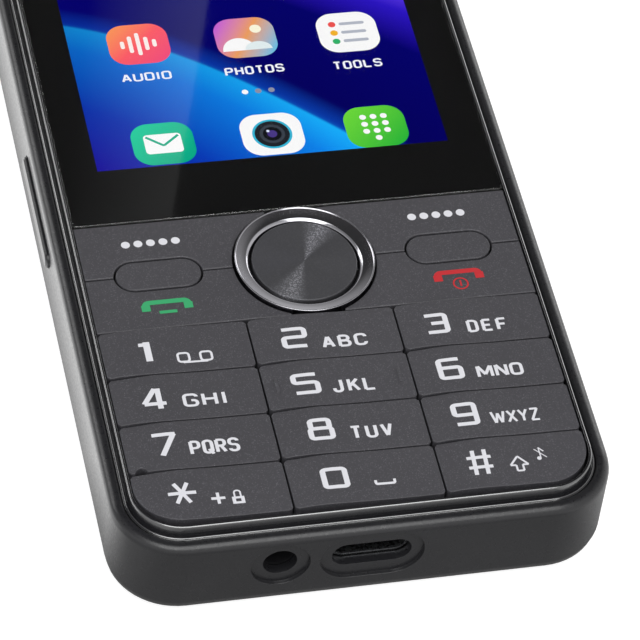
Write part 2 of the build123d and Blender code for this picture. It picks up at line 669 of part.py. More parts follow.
def function_stems():
    """Dome places of the soft keys, the call keys and the pill keys."""
    soft_y = (SOFT_SPLIT_Y + PILL_WIDTH / 2 + GLASS_EDGE_Y) / 2
    call_y = (SOFT_SPLIT_Y - PILL_WIDTH / 2 + NUMBERS_TOP_Y) / 2
    return {
        "soft_left_key": (-PILL_X, soft_y),
        "soft_right_key": (PILL_X, soft_y),
        "call_key": (-PILL_X, call_y),
        "end_key": (PILL_X, call_y),
        "shortcut_left_key": (-PILL_X, SOFT_SPLIT_Y),
        "shortcut_right_key": (PILL_X, SOFT_SPLIT_Y),
    }


def make_function_keys():
    """Soft keys, call keys and the two pill keys by node name."""
    stems = function_stems()
    keys = {
        "soft_left_key": function_key(-1, SOFT_SPLIT_Y, GLASS_EDGE_Y, stems["soft_left_key"]),
        "soft_right_key": function_key(1, SOFT_SPLIT_Y, GLASS_EDGE_Y, stems["soft_right_key"]),
        "call_key": function_key(-1, NUMBERS_TOP_Y, SOFT_SPLIT_Y, stems["call_key"]),
        "end_key": function_key(1, NUMBERS_TOP_Y, SOFT_SPLIT_Y, stems["end_key"]),
    }
    for side, name in ((-1, "shortcut_left_key"), (1, "shortcut_right_key")):
        pill = pill_body(side, 0, KEY_UNDERSIDE_Z, KEY_TOP_Z)
        pill = chamfer(pill.faces().sort_by(Axis.Z)[-1].edges(), KEY_EDGE_CHAMFER)
        keys[name] = add_stem(pill, *stems[name])
    return keys


def make_nav_ring():
    """Spun ring with an outer crest, a dished band, an inner lip and four feet over the domes."""
    crest_z = KEY_TOP_Z + RING_CREST_RISE
    lip_z = KEY_TOP_Z + RING_RIM_RISE
    outer, inner = RING_OUTER_RADIUS, RING_INNER_RADIUS
    bottom = RING_UNDERSIDE_Z
    band = outer - inner - 2 * RING_LAND
    dish = []
    for share in (0.3, 0.7):
        chord_z = lip_z + share * (crest_z - lip_z)
        dish.append((inner + RING_LAND + share * band, chord_z - RING_DISH))
    profile = Polyline(
        (inner, bottom),
        (inner, lip_z - 0.1),
        (inner + RING_LAND, lip_z),
        *dish,
        (outer - RING_LAND, crest_z),
        (outer, crest_z - 0.22),
        (outer, bottom),
        close=True,
    )
    ring = Pos(0, up(SOFT_SPLIT_Y), 0) * revolve(Plane.XZ * make_face(profile), Axis.Z)
    for x, y in direction_domes():
        ring += centred_block(x, y, NAV_FOOT_WIDTH, NAV_FOOT_WIDTH, STEM_BOTTOM_Z, bottom)
    return ring


def make_nav_rocker():
    """Washer under the ring, relieved to both sides of the line that the ring rocks on."""
    top = RING_UNDERSIDE_Z
    bottom = top - ROCKER_THICKNESS
    washer = disc(0, SOFT_SPLIT_Y, ROCKER_RADIUS, bottom, top)
    washer -= disc(0, SOFT_SPLIT_Y, ROCKER_INNER_RADIUS, bottom, top)
    notch = NAV_FOOT_WIDTH + 2 * PART_GAP
    for x, y in direction_domes():
        washer -= centred_block(x, y, notch, notch, bottom, top)
    drop = ROCKER_RADIUS * tan(radians(ROCKER_RELIEF))
    for side in (-1, 1):
        edge = side * ROCKER_RADIUS
        wedge = make_face(Polyline((0, top), (edge, top), (edge, top - drop), close=True))
        washer -= along_y(0, 0, wedge, SOFT_SPLIT_Y - ROCKER_RADIUS, SOFT_SPLIT_Y + ROCKER_RADIUS)
    return washer


def direction_domes():
    """Places of the four domes under the ring."""
    radius = NAV_FOOT_CIRCLE
    return [(radius * cos(k * pi / 2), SOFT_SPLIT_Y + radius * sin(k * pi / 2)) for k in range(4)]


def make_ok_key():
    """Round centre key with its stem."""
    key = disc(0, SOFT_SPLIT_Y, OK_RADIUS, KEY_UNDERSIDE_Z, KEY_TOP_Z)
    key = chamfer(key.faces().sort_by(Axis.Z)[-1].edges(), KEY_EDGE_CHAMFER)
    return add_stem(key, 0, SOFT_SPLIT_Y)


def dome_places():
    """Every pressed dome: number keys, function keys and the centre key."""
    places = [number_key_centre(column, row) for row in range(4) for column in range(3)]
    places += list(function_stems().values())
    places.append((0, SOFT_SPLIT_Y))
    return places


def keypad_field(inset, z0, z1):
    """Keypad area of the inside, up to the crossbar."""
    half = BODY_WIDTH / 2
    return inner_outline(inset, z0, z1) & block(-half, half, 0, GLASS_EDGE_Y - PART_GAP, z0, z1)


def make_keypad_mat():
    """Silicone web between the keys and the domes, on a skirt along three of its edges."""
    mat = keypad_field(MAT_INSET, DOME_SHEET_TOP_Z, MAT_TOP_Z)
    mat -= keypad_field(MAT_INSET + MAT_SKIRT, DOME_SHEET_TOP_Z, MAT_BOTTOM_Z)
    for x, y in screw_places():
        mat -= boss_clearance(x, y, DOME_SHEET_TOP_Z, MAT_TOP_Z)
    for places, width in ((dome_places(), KEY_STEM_WIDTH), (direction_domes(), NAV_FOOT_WIDTH)):
        hole = width + 2 * MAT_HOLE_CLEARANCE
        for x, y in places:
            mat -= centred_block(x, y, hole, hole, MAT_BOTTOM_Z, MAT_TOP_Z)
    return mat


def make_dome_sheet():
    """Adhesive film on the board with an eight-sided snap dome under every key."""
    sheet = keypad_field(MAT_INSET, BOARD_TOP_Z, DOME_SHEET_TOP_Z)
    for x, y in screw_places():
        sheet -= boss_clearance(x, y, BOARD_TOP_Z, DOME_SHEET_TOP_Z)
    for places, radii in ((dome_places(), DOME_RADII), (direction_domes(), DIRECTION_DOME_RADII)):
        draft = degrees(atan2((radii[0] - radii[1]) * cos(pi / 8), DOME_HEIGHT))
        dome = extrude(RegularPolygon(radii[0], 8), DOME_HEIGHT, taper=draft)
        for x, y in places:
            sheet += Pos(x, up(y), DOME_SHEET_TOP_Z) * dome
    return sheet


# Board and what is on it


def jack_limits(grow):
    """Jack body between limits, grown by a clearance."""
    width, length, height = JACK_BODY
    return (
        JACK_X - width / 2 - grow,
        JACK_X + width / 2 + grow,
        PORT_FACE_Y - grow,
        PORT_FACE_Y + length + grow,
        PORT_Z - height / 2 - grow,
        PORT_Z + height / 2 + grow,
    )


def make_main_board():
    """Board with clearances for the jack, the bosses and nothing else."""
    board = inner_outline(BOARD_INSET, BOARD_BOTTOM_Z, BOARD_TOP_Z)
    x0, x1, _, y1, _, _ = jack_limits(PART_GAP)
    board -= block(x0, x1, 0, y1, BOARD_BOTTOM_Z, BOARD_TOP_Z)
    for x, y in screw_places():
        board -= boss_clearance(x, y, BOARD_BOTTOM_Z, BOARD_TOP_Z)
    return board


def make_shield_cans():
    """Two pressed cans over the radio and the processor."""
    bottom = BOARD_BOTTOM_Z - SHIELD_HEIGHT
    return [centred_block(*place, bottom, BOARD_BOTTOM_Z) for place in (SHIELD_LARGE, SHIELD_SMALL)]


def make_headphone_jack():
    """Jack body with its round nose and bore."""
    x0, x1, y0, y1, z0, z1 = jack_limits(0)
    body = block(x0, x1, y0 + JACK_NOSE_LENGTH, y1, z0, z1)
    body += along_y(JACK_X, PORT_Z, Circle(JACK_NOSE_RADIUS), y0, y0 + JACK_NOSE_LENGTH)
    return body - along_y(JACK_X, PORT_Z, Circle(JACK_BORE_RADIUS), y0, y0 + JACK_BORE_DEPTH)


def make_jack_contacts():
    """Three leaf contacts soldered beside the jack body."""
    x0, x1, y0, _, z0, _ = jack_limits(0)
    leaf = JACK_LEAF[0]
    half = JACK_LEAF[1] / 2
    contacts = []
    for x, share in ((x0 - leaf, 0.38), (x0 - leaf, 0.71), (x1, 0.54)):
        y = y0 + share * JACK_BODY[1]
        contacts.append(block(x, x + leaf, y - half, y + half, z0 + half, BOARD_BOTTOM_Z))
    return contacts


def make_usb_socket():
    """Drawn shell of the charging socket, closed at the back."""
    width, depth, height = USB_SHELL
    wall = USB_SHELL_WALL
    shell = along_y(0, PORT_Z, stadium(width, height), PORT_FACE_Y, PORT_FACE_Y + depth)
    bore = along_y(
        0, PORT_Z, stadium(width - 2 * wall, height - 2 * wall), PORT_FACE_Y, PORT_FACE_Y + depth - wall
    )
    return shell - bore


def make_usb_tongue():
    """Contact tongue inside the shell with the block that carries it."""
    width, length, thickness = USB_TONGUE
    back = PORT_FACE_Y + USB_SHELL[1] - USB_SHELL_WALL
    base_depth = 1.6
    tip = back - base_depth - length
    tongue = block(-width / 2, width / 2, tip, back, PORT_Z - thickness / 2, PORT_Z + thickness / 2)
    inner_width = USB_SHELL[0] - 2 * USB_SHELL_WALL - 0.04
    inner_height = USB_SHELL[2] - 2 * USB_SHELL_WALL - 0.04
    return tongue + along_y(0, PORT_Z, stadium(inner_width, inner_height), back - base_depth, back)


def make_sim_sockets():
    """Two SIM sockets: flat trays open on the side that faces the back."""
    first, second, _ = socket_places()
    return [socket(x, SIM_SIZE) for x in (first, second)]


def socket(x, size):
    """Card socket: a shallow tray with an insertion mouth at its lower end."""
    width, length, height = size
    bottom = BOARD_BOTTOM_Z - height
    wall = 0.5
    tray = centred_block(x, SOCKET_ROW_Y, width, length, bottom, BOARD_BOTTOM_Z)
    mouth = block(
        x - width / 2 + wall,
        x + width / 2 - wall,
        SOCKET_ROW_Y - length / 2,
        SOCKET_ROW_Y + length / 2 - wall,
        bottom + 0.25,
        bottom + 1.1,
    )
    return tray - mouth


def make_card_socket():
    """Memory card socket."""
    _, _, card = socket_places()
    return socket(card, CARD_SIZE)


def make_microphone():
    """Microphone under the board, below the notch in the keypad."""
    width, length, height = MIC_SIZE
    x = MIC_X + width / 2
    return centred_block(x, ROW_EDGES[3], width, length, BOARD_BOTTOM_Z - height, BOARD_BOTTOM_Z)


def make_flash_led():
    """Torch light-emitting diode on the board."""
    width, height = FLASH_LED
    x = CAMERA_X + FLASH_OFFSET
    return centred_block(x, CAMERA_Y, width, width, BOARD_BOTTOM_Z - height, BOARD_BOTTOM_Z)


def make_flash_guide():
    """Clear rod that carries the torch light to the cover."""
    bottom = SHELL_FLOOR + PART_GAP
    top = BOARD_BOTTOM_Z - FLASH_LED[1] - PART_GAP
    return disc(CAMERA_X + FLASH_OFFSET, CAMERA_Y, FLASH_RADIUS - PART_GAP, bottom, top)


def make_volume_switches():
    """Two side-push switches on the board's edge behind the rocker."""
    depth, length, height = VOLUME_SWITCH
    plunger_depth, plunger_length = VOLUME_PLUNGER
    x0 = volume_flange_depth() - BODY_WIDTH / 2 + VOLUME_WALL_GAP
    x1 = x0 + plunger_depth
    x2 = -BODY_WIDTH / 2 + BOARD_INSET + depth
    bottom = BOARD_BOTTOM_Z - height
    switches = []
    for side in (-1, 1):
        y = VOLUME_Y + side * VOLUME_SWITCH_SPREAD
        body = block(x1, x2, y - length / 2, y + length / 2, bottom, BOARD_BOTTOM_Z)
        half = plunger_length / 2
        plunger = block(x0, x1, y - half, y + half, bottom + 0.2 * height, bottom + 0.7 * height)
        switches.append(body + plunger)
    return switches


def volume_flange_depth():
    """Depth of the rocker flange's inner face from the wall's outer face."""
    return SHELL_WALL + VOLUME_WALL_GAP + VOLUME_FLANGE_THICKNESS


# Chassis and what it carries


def make_chassis():
    """Moulding behind the board: walls, plate, battery bay and windows."""
    chassis = inner_outline(CHASSIS_INSET, CHASSIS_BOTTOM_Z, FRAME_BOTTOM_Z)
    chassis -= inner_outline(CHASSIS_INSET + CHASSIS_WALL, CHASSIS_BOTTOM_Z, PLATE_BOTTOM_Z)
    chassis -= inner_outline(BOARD_INSET + BOARD_LEDGE, PLATE_TOP_Z, FRAME_BOTTOM_Z)
    chassis -= inner_outline(BOARD_INSET - PART_GAP, BOARD_BOTTOM_Z, FRAME_BOTTOM_Z)

    bay = battery_limits(BATTERY_GAP)
    bay_top = BATTERY_TOP_Z
    wall = centred_bay(bay, BAY_WALL, CHASSIS_BOTTOM_Z, PLATE_BOTTOM_Z)
    wall -= centred_bay(bay, 0, CHASSIS_BOTTOM_Z, bay_top)
    chassis += wall & centred_bay(bay, BAY_WALL, CHASSIS_BOTTOM_Z, PLATE_TOP_Z)

    x0, _, _, _, z0, _ = jack_limits(PART_GAP)
    usb_half = USB_SHELL[0] / 2 + PART_GAP
    chassis -= block(x0 - 0.4, usb_half, 0, PORT_WINDOW_DEPTH, z0, FRAME_BOTTOM_Z)

    flange = VOLUME_LENGTH / 2 + VOLUME_FLANGE + 2 * PART_GAP
    wall_inner = -BODY_WIDTH / 2 + CHASSIS_INSET + CHASSIS_WALL
    chassis -= block(
        -BODY_WIDTH / 2, wall_inner, VOLUME_Y - flange, VOLUME_Y + flange, CHASSIS_BOTTOM_Z, FRAME_BOTTOM_Z
    )
    switch_depth = -BODY_WIDTH / 2 + BOARD_INSET + VOLUME_SWITCH[0] + PART_GAP
    switch_bottom = BOARD_BOTTOM_Z - VOLUME_SWITCH[2] - PART_GAP
    chassis -= block(
        -BODY_WIDTH / 2, switch_depth, VOLUME_Y - flange, VOLUME_Y + flange, switch_bottom, BOARD_BOTTOM_Z
    )

    for x, (width, length, _) in zip(socket_places(), (SIM_SIZE, SIM_SIZE, CARD_SIZE)):
        window = (width + 2 * PART_GAP, length + 2 * WINDOW_MARGIN)
        chassis -= centred_block(x, SOCKET_ROW_Y, *window, PLATE_BOTTOM_Z, PLATE_TOP_Z)
    boss_room = SCREW_BOSS_WIDTH + 2 * PART_GAP
    for x, y in screw_places():
        chassis -= centred_block(x, y, boss_room, boss_room, PLATE_TOP_Z, FRAME_BOTTOM_Z)
        chassis -= disc(x, y, SCREW_RADIUS + SCREW_FIT, PLATE_BOTTOM_Z, PLATE_TOP_Z)
    chassis -= disc(CAMERA_X + FLASH_OFFSET, CAMERA_Y, FLASH_RADIUS, PLATE_BOTTOM_Z, PLATE_TOP_Z)
    mic_room = (MIC_SIZE[0] + 2 * PART_GAP, MIC_SIZE[1] + 2 * PART_GAP)
    mic_x = MIC_X + MIC_SIZE[0] / 2
    chassis -= centred_block(mic_x, ROW_EDGES[3], *mic_room, PLATE_TOP_Z, FRAME_BOTTOM_Z)
    chassis += speaker_pocket() + motor_cradle()
    return chassis


def battery_limits(grow):
    """Battery between limits in x and y, grown by a clearance."""
    return (
        -BATTERY_WIDTH / 2 - grow,
        BATTERY_WIDTH / 2 + grow,
        BATTERY_Y - grow,
        BATTERY_Y + BATTERY_LENGTH + grow,
    )


def centred_bay(limits, grow, z0, z1):
    """Block over limits in x and y, grown by a wall."""
    x0, x1, y0, y1 = limits
    return block(x0 - grow, x1 + grow, y0 - grow, y1 + grow, z0, z1)


def speaker_pocket():
    """Ring wall under the plate that seats the loudspeaker."""
    width, length, height = SPEAKER_BODY
    z0 = PLATE_BOTTOM_Z - height
    limits = (z0, PLATE_BOTTOM_Z)
    pocket = centred_block(SPEAKER_X, CAMERA_Y, width + 2 * BAY_WALL, length + 2 * BAY_WALL, *limits)
    return pocket - centred_block(SPEAKER_X, CAMERA_Y, width + 2 * PART_GAP, length + 2 * PART_GAP, *limits)


def motor_cradle():
    """Saddle under the plate that holds the vibration motor."""
    x0 = MOTOR_X + CRADLE_INSET
    x1 = MOTOR_X + MOTOR_LENGTH - CRADLE_INSET
    half = MOTOR_RADIUS + CRADLE_WALL
    saddle = block(x0, x1, MOTOR_Y - half, MOTOR_Y + half, MOTOR_Z, PLATE_BOTTOM_Z)
    return saddle - along_x(MOTOR_X, MOTOR_RADIUS + SCREW_FIT, MOTOR_LENGTH)


def along_x(x, radius, length):
    """Cylinder along X on the motor's axis."""
    return Pos(x + length / 2, up(MOTOR_Y), MOTOR_Z) * Rot(0, 90, 0) * Cylinder(radius, length)


def make_screws():
    """Four equal pan-head screws driven from the back."""
    screws = []
    for x, y in screw_places():
        head = disc(x, y, SCREW_HEAD_RADIUS, PLATE_BOTTOM_Z - SCREW_HEAD_HEIGHT, PLATE_BOTTOM_Z)
        slot_top = PLATE_BOTTOM_Z - 0.5 * SCREW_HEAD_HEIGHT
        head -= centred_block(x, y, *SCREW_SLOT, PLATE_BOTTOM_Z - SCREW_HEAD_HEIGHT, slot_top)
        shank = disc(x, y, SCREW_RADIUS, PLATE_BOTTOM_Z, PLATE_TOP_Z + SCREW_ENGAGEMENT - PART_GAP)
        screws.append(head + shank)
    return screws


def make_battery():
    """Removable battery pack with its long edges taken off."""
    x0, x1, y0, y1 = battery_limits(0)
    pack = block(x0, x1, y0, y1, BATTERY_BOTTOM_Z, BATTERY_TOP_Z)
    return chamfer(pack.edges().filter_by(Axis.Y), BATTERY_EDGE)


def make_battery_terminals():
    """Gold pads on the battery's end."""
    middle = (BATTERY_BOTTOM_Z + BATTERY_TOP_Z) / 2
    z0 = middle - CONTACT_HEIGHT / 2
    z1 = middle + CONTACT_HEIGHT / 2
    half = CONTACT_WIDTH / 2
    y0 = BATTERY_Y - TERMINAL_THICKNESS
    places = [index * CONTACT_PITCH for index in (-1, 0, 1)]
    return [block(x - half, x + half, y0, BATTERY_Y, z0, z1) for x in places]


def make_rear_camera():
    """Camera module with its lens barrel, on the plate's underside."""
    body = centred_block(CAMERA_X, CAMERA_Y, CAMERA_BODY, CAMERA_BODY, CAMERA_BARREL_TOP_Z, PLATE_BOTTOM_Z)
    body = chamfer(upright_edges(body), CAMERA_CORNER)
    start = SHELL_FLOOR + PART_GAP
    barrel = disc(CAMERA_X, CAMERA_Y, CAMERA_LENS_RADIUS, start, CAMERA_BARREL_TOP_Z)
    bore = disc(CAMERA_X, CAMERA_Y, 0.6 * CAMERA_LENS_RADIUS, start, start + 0.45)
    return body + barrel - bore


def make_loudspeaker():
    """Rectangular loudspeaker with a raised cone surround."""
    width, length, height = SPEAKER_BODY
    z0 = PLATE_BOTTOM_Z - height
    body = centred_block(SPEAKER_X, CAMERA_Y, width, length, z0, PLATE_BOTTOM_Z)
    body = chamfer(upright_edges(body), SPEAKER_CORNER)
    side_rim, end_rim, depth = SPEAKER_RIM
    cone = (width - 2 * side_rim, length - 2 * end_rim)
    return body - centred_block(SPEAKER_X, CAMERA_Y, *cone, z0, z0 + depth)


def make_vibration_motor():
    """Cylindrical motor can with a clear bore for its shaft."""
    can = along_x(MOTOR_X, MOTOR_RADIUS, MOTOR_LENGTH)
    depth = MOTOR_SHAFT_DEPTH + SHAFT_CLEARANCE
    return can - along_x(MOTOR_X + MOTOR_LENGTH - depth, MOTOR_SHAFT_RADIUS + SHAFT_CLEARANCE, depth)


def make_vibration_weight():
    """Half-round weight on the motor's shaft."""
    start = MOTOR_X + MOTOR_LENGTH + PART_GAP
    end = start + WEIGHT_LENGTH
    radius = WEIGHT_RADIUS
    cut_z = MOTOR_Z + MOTOR_SHAFT_RADIUS
    weight = along_x(start, radius, WEIGHT_LENGTH)
    weight -= block(start, end, MOTOR_Y - radius, MOTOR_Y + radius, cut_z, MOTOR_Z + radius)
    shaft_start = MOTOR_X + MOTOR_LENGTH - MOTOR_SHAFT_DEPTH
    return weight + along_x(shaft_start, MOTOR_SHAFT_RADIUS, end - shaft_start)


def make_antenna():
    """Printed antenna flex under the plate at the display end."""
    top = PLATE_BOTTOM_Z
    y = BODY_LENGTH - CHASSIS_INSET - CHASSIS_WALL - (ANTENNA_WIDTH + SCREW_BOSS_WIDTH) / 2
    half = ANTENNA_LENGTH / 2 - SCREW_BOSS_WIDTH
    return block(-half, half, y - ANTENNA_WIDTH / 2, y + ANTENNA_WIDTH / 2, top - ANTENNA_THICKNESS, top)


def make_battery_contacts():
    """Spring fingers of the board that touch the battery's pads."""
    middle = (BATTERY_BOTTOM_Z + BATTERY_TOP_Z) / 2
    fingers = []
    for index in (-1, 0, 1):
        x = index * CONTACT_PITCH
        fingers.append(
            block(
                x - CONTACT_WIDTH / 4,
                x + CONTACT_WIDTH / 4,
                BATTERY_Y - BATTERY_GAP,
                BATTERY_Y - PART_GAP,
                middle - 0.5,
                middle + 0.5,
            )
        )
    return fingers


def as_one(pieces):
    """Separate equal pieces as one compound."""
    return Compound(children=[piece if isinstance(piece, Solid) else piece.solid() for piece in pieces])


def main():
    """Build every sub-part and write one STEP file for each."""
    os.makedirs("parts", exist_ok=True)
    parts = {
        "rear_cover": make_rear_cover(),
        "volume_key": make_volume_key(),
        "camera_window": make_camera_window(),
        "speaker_mesh": make_speaker_mesh(),
        "front_frame": make_front_frame(),
        "touch_glass": make_touch_glass(),
        "glass_adhesive": make_glass_adhesive(),
        "display_module": make_display_module(),
        "display_flex": make_display_flex(),
        "earpiece_receiver": make_earpiece_receiver(),
        "earpiece_mesh": make_earpiece_mesh(),
        "nav_ring": make_nav_ring(),
        "nav_rocker": make_nav_rocker(),
        "ok_key": make_ok_key(),
        "keypad_mat": make_keypad_mat(),
        "keypad_dome_sheet": make_dome_sheet(),
        "main_board": make_main_board(),
        "shield_cans": as_one(make_shield_cans()),
        "headphone_jack": make_headphone_jack(),
        "jack_contacts": as_one(make_jack_contacts()),
        "usb_socket": make_usb_socket(),
        "usb_tongue": make_usb_tongue(),
        "sim_sockets": as_one(make_sim_sockets()),
        "memory_card_socket": make_card_socket(),
        "microphone": make_microphone(),
        "flash_led": make_flash_led(),
        "flash_guide": make_flash_guide(),
        "volume_switches": as_one(make_volume_switches()),
        "chassis": make_chassis(),
        "chassis_screws": as_one(make_screws()),
        "battery": make_battery(),
        "battery_terminals": as_one(make_battery_terminals()),
        "battery_contacts": as_one(make_battery_contacts()),
        "rear_camera": make_rear_camera(),
        "loudspeaker": make_loudspeaker(),
        "vibration_motor": make_vibration_motor(),
        "vibration_weight": make_vibration_weight(),
        "antenna_flex": make_antenna(),
    }
    parts.update(make_number_keys())
    parts.update(make_function_keys())
    for name, shape in parts.items():
        export_step(shape, "parts/" + name + ".step")


main()
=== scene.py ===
"""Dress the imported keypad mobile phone: studio, finishes, print on the keys and the lit display.

Places come from the CAD frame, in metres. Sizes in the classes are real millimetres, with x from
the body's middle line and y counted from the keypad end of the body, as a maker would lay them out.
"""

import json
import logging
from dataclasses import dataclass, field
from enum import Enum
from math import ceil, copysign, cos, pi, radians, sin

import bmesh
import bpy
from mathutils import Matrix, Vector
from mathutils.bvhtree import BVHTree

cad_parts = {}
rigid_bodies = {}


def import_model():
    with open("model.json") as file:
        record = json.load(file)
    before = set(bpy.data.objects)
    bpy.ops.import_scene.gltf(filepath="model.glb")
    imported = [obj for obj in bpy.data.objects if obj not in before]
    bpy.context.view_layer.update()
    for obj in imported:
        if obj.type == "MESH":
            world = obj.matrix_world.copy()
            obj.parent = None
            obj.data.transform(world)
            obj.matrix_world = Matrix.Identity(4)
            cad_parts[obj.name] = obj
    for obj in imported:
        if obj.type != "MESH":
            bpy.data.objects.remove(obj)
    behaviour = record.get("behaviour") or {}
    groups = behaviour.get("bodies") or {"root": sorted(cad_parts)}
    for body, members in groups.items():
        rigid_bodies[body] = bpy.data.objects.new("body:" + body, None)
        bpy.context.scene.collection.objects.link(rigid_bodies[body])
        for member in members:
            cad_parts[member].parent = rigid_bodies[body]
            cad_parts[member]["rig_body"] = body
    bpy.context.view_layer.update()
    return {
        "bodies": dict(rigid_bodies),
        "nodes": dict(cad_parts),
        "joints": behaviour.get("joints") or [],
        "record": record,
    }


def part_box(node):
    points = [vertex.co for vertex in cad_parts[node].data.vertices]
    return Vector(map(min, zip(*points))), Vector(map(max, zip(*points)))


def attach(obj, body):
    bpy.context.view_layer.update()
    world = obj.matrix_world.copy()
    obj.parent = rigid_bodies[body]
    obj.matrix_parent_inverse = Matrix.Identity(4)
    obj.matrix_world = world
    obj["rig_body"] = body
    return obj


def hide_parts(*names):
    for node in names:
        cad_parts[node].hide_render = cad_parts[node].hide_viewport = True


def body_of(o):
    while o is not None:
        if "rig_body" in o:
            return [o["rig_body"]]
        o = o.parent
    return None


LOG = logging.getLogger("phone")
MM = 0.001
# A wave texture repeats after this much of its scaled place.
WAVE_TURN = 2 * pi / 20
# Strength of the light that the lit inks give.
LIT_STRENGTH = 1.04

Point = tuple[float, float]
Place = tuple[float, float, float]
Stops = tuple[tuple[float, str], ...]
Mesh = bmesh.types.BMesh
Edge = bmesh.types.BMEdge
Tree = bpy.types.NodeTree
Socket = bpy.types.NodeSocket
Material = bpy.types.Material
Thing = bpy.types.Object
Sockets = dict[str | int, object]


# Finishes


def linear(hex_colour: str) -> tuple[float, float, float, float]:
    """Turn an sRGB hex colour into linear RGBA.

    Args:
        hex_colour: Six hex digits with a leading hash sign.

    Returns:
        Linear red, green, blue and an alpha of one.
    """
    channels = [int(hex_colour[i : i + 2], 16) / 255 for i in (1, 3, 5)]
    values = [c / 12.92 if c <= 0.04045 else ((c + 0.055) / 1.055) ** 2.4 for c in channels]
    return (values[0], values[1], values[2], 1.0)


def add_node(
    tree: Tree, kind: str, sockets: dict | None = None, **settings: object
) -> bpy.types.Node:
    """Add a shader node with its settings, values and links.

    Args:
        tree: Node tree that gets the node.
        kind: Blender's name of the node type.
        sockets: Value, or output socket to link from, for each input by name or index.
        **settings: Properties of the node.

    Returns:
        The new node.
    """
    node = tree.nodes.new(kind)
    for name, value in settings.items():
        setattr(node, name, value)
    for name, value in (sockets or {}).items():
        if isinstance(value, Socket):
            tree.links.new(value, node.inputs[name])
        else:
            node.inputs[name].default_value = value
    return node


def new_material(name: str) -> tuple[Material, Tree]:
    """Start a material with an empty node tree.

    Args:
        name: The material's name.

    Returns:
        The material and its tree.
    """
    material = bpy.data.materials.new(name)
    material.use_nodes = True
    material.node_tree.nodes.clear()
    return material, material.node_tree


def set_ramp(node: bpy.types.Node, stops: Stops) -> None:
    """Give a colour ramp its stops.

    Args:
        node: Colour ramp node.
        stops: Place and sRGB hex colour of each stop, in order.
    """
    ramp = node.color_ramp
    while len(ramp.elements) < len(stops):
        ramp.elements.new(0.5)
    for element, (place, colour) in zip(ramp.elements, stops):
        element.position = place
        element.color = linear(colour)


def lit(colour: Socket | tuple) -> Sockets:
    """Give the shader values of a surface that only gives light.

    Args:
        colour: Its colour, or the socket that draws it.

    Returns:
        Values and links of the surface shader.
    """
    return {
        "Base Color": linear("#000000"),
        "Specular IOR Level": 0.0,
        "Roughness": 1.0,
        "Emission Color": colour,
        "Emission Strength": LIT_STRENGTH,
    }


@dataclass(frozen=True)
class Finish:
    """One finish of the phone, named for the real material."""

    name: str

    def surface(self, tree: Tree) -> Sockets:
        """Draw the finish's patterns.

        Args:
            tree: Node tree that gets them.

        Returns:
            Values and links of the surface shader, by the names of its inputs.
        """
        raise NotImplementedError

    def build(self) -> Material:
        """Make the material.

        Returns:
            The finished material.
        """
        material, tree = new_material(self.name)
        shader = add_node(tree, "ShaderNodeBsdfPrincipled", self.surface(tree))
        add_node(tree, "ShaderNodeOutputMaterial", {"Surface": shader.outputs["BSDF"]})
        return material


@dataclass(frozen=True)
class Moulded(Finish):
    """Moulded, cast or plated surface with fine grain, slight mottling and its own gloss."""

    colour: str
    second_colour: str
    roughness: float
    roughness_swing: float = 0.06
    metallic: float = 0.0
    grain_mm: float = 0.25
    grain_depth_mm: float = 0.004
    fleck_mm: float = 0.0
    fleck_colour: str = "#7a7a80"
    coat: float = 0.0
    ior: float = 1.5
    mottle_mm: float = 14.0
    fleck_start: float = 0.86
    fleck_cover: float = 0.4
    coat_roughness: float = 0.12

    def surface(self, tree: Tree) -> Sockets:
        """Mottle and fleck the colour, swing the gloss and raise the grain.

        Args:
            tree: Node tree that gets the patterns.

        Returns:
            Values and links of the surface shader.
        """
        place = add_node(tree, "ShaderNodeTexCoord").outputs["Object"]
        mottle, grain = [
            add_node(
                tree,
                "ShaderNodeTexNoise",
                {"Vector": place, "Scale": 1 / (size_mm * MM), "Detail": detail},
            ).outputs["Fac"]
            for size_mm, detail in ((self.mottle_mm, 3.0), (self.grain_mm, 2.0))
        ]
        ramp = add_node(tree, "ShaderNodeValToRGB", {"Fac": mottle})
        set_ramp(ramp, ((0.3, self.colour), (0.75, self.second_colour)))
        colour = ramp.outputs["Color"]
        if self.fleck_mm:
            flecks = add_node(
                tree, "ShaderNodeTexVoronoi", {"Vector": place, "Scale": 1 / (self.fleck_mm * MM)}
            )
            # Each fleck has a random red value, and only the highest ones show.
            chance = add_node(tree, "ShaderNodeSeparateColor", {"Color": flecks.outputs["Color"]})
            share = add_node(
                tree,
                "ShaderNodeMapRange",
                {
                    "Value": chance.outputs["Red"],
                    "From Min": self.fleck_start,
                    "To Max": self.fleck_cover,
                },
            )
            colour = add_node(
                tree,
                "ShaderNodeMix",
                {"Factor": share.outputs["Result"], "A": colour, "B": linear(self.fleck_colour)},
                data_type="RGBA",
            ).outputs["Result"]
        gloss = add_node(
            tree,
            "ShaderNodeMapRange",
            {
                "Value": grain,
                "From Min": 0.3,
                "From Max": 0.7,
                "To Min": self.roughness - self.roughness_swing,
                "To Max": self.roughness + self.roughness_swing,
            },
        )
        bump = add_node(
            tree,
            "ShaderNodeBump",
            {"Height": grain, "Distance": self.grain_depth_mm * MM, "Strength": 1.0},
        )
        return {
            "Base Color": colour,
            "Roughness": gloss.outputs["Result"],
            "Normal": bump.outputs["Normal"],
            "Metallic": self.metallic,
            "Coat Weight": self.coat,
            "Coat Roughness": self.coat_roughness,
            "IOR": self.ior,
        }


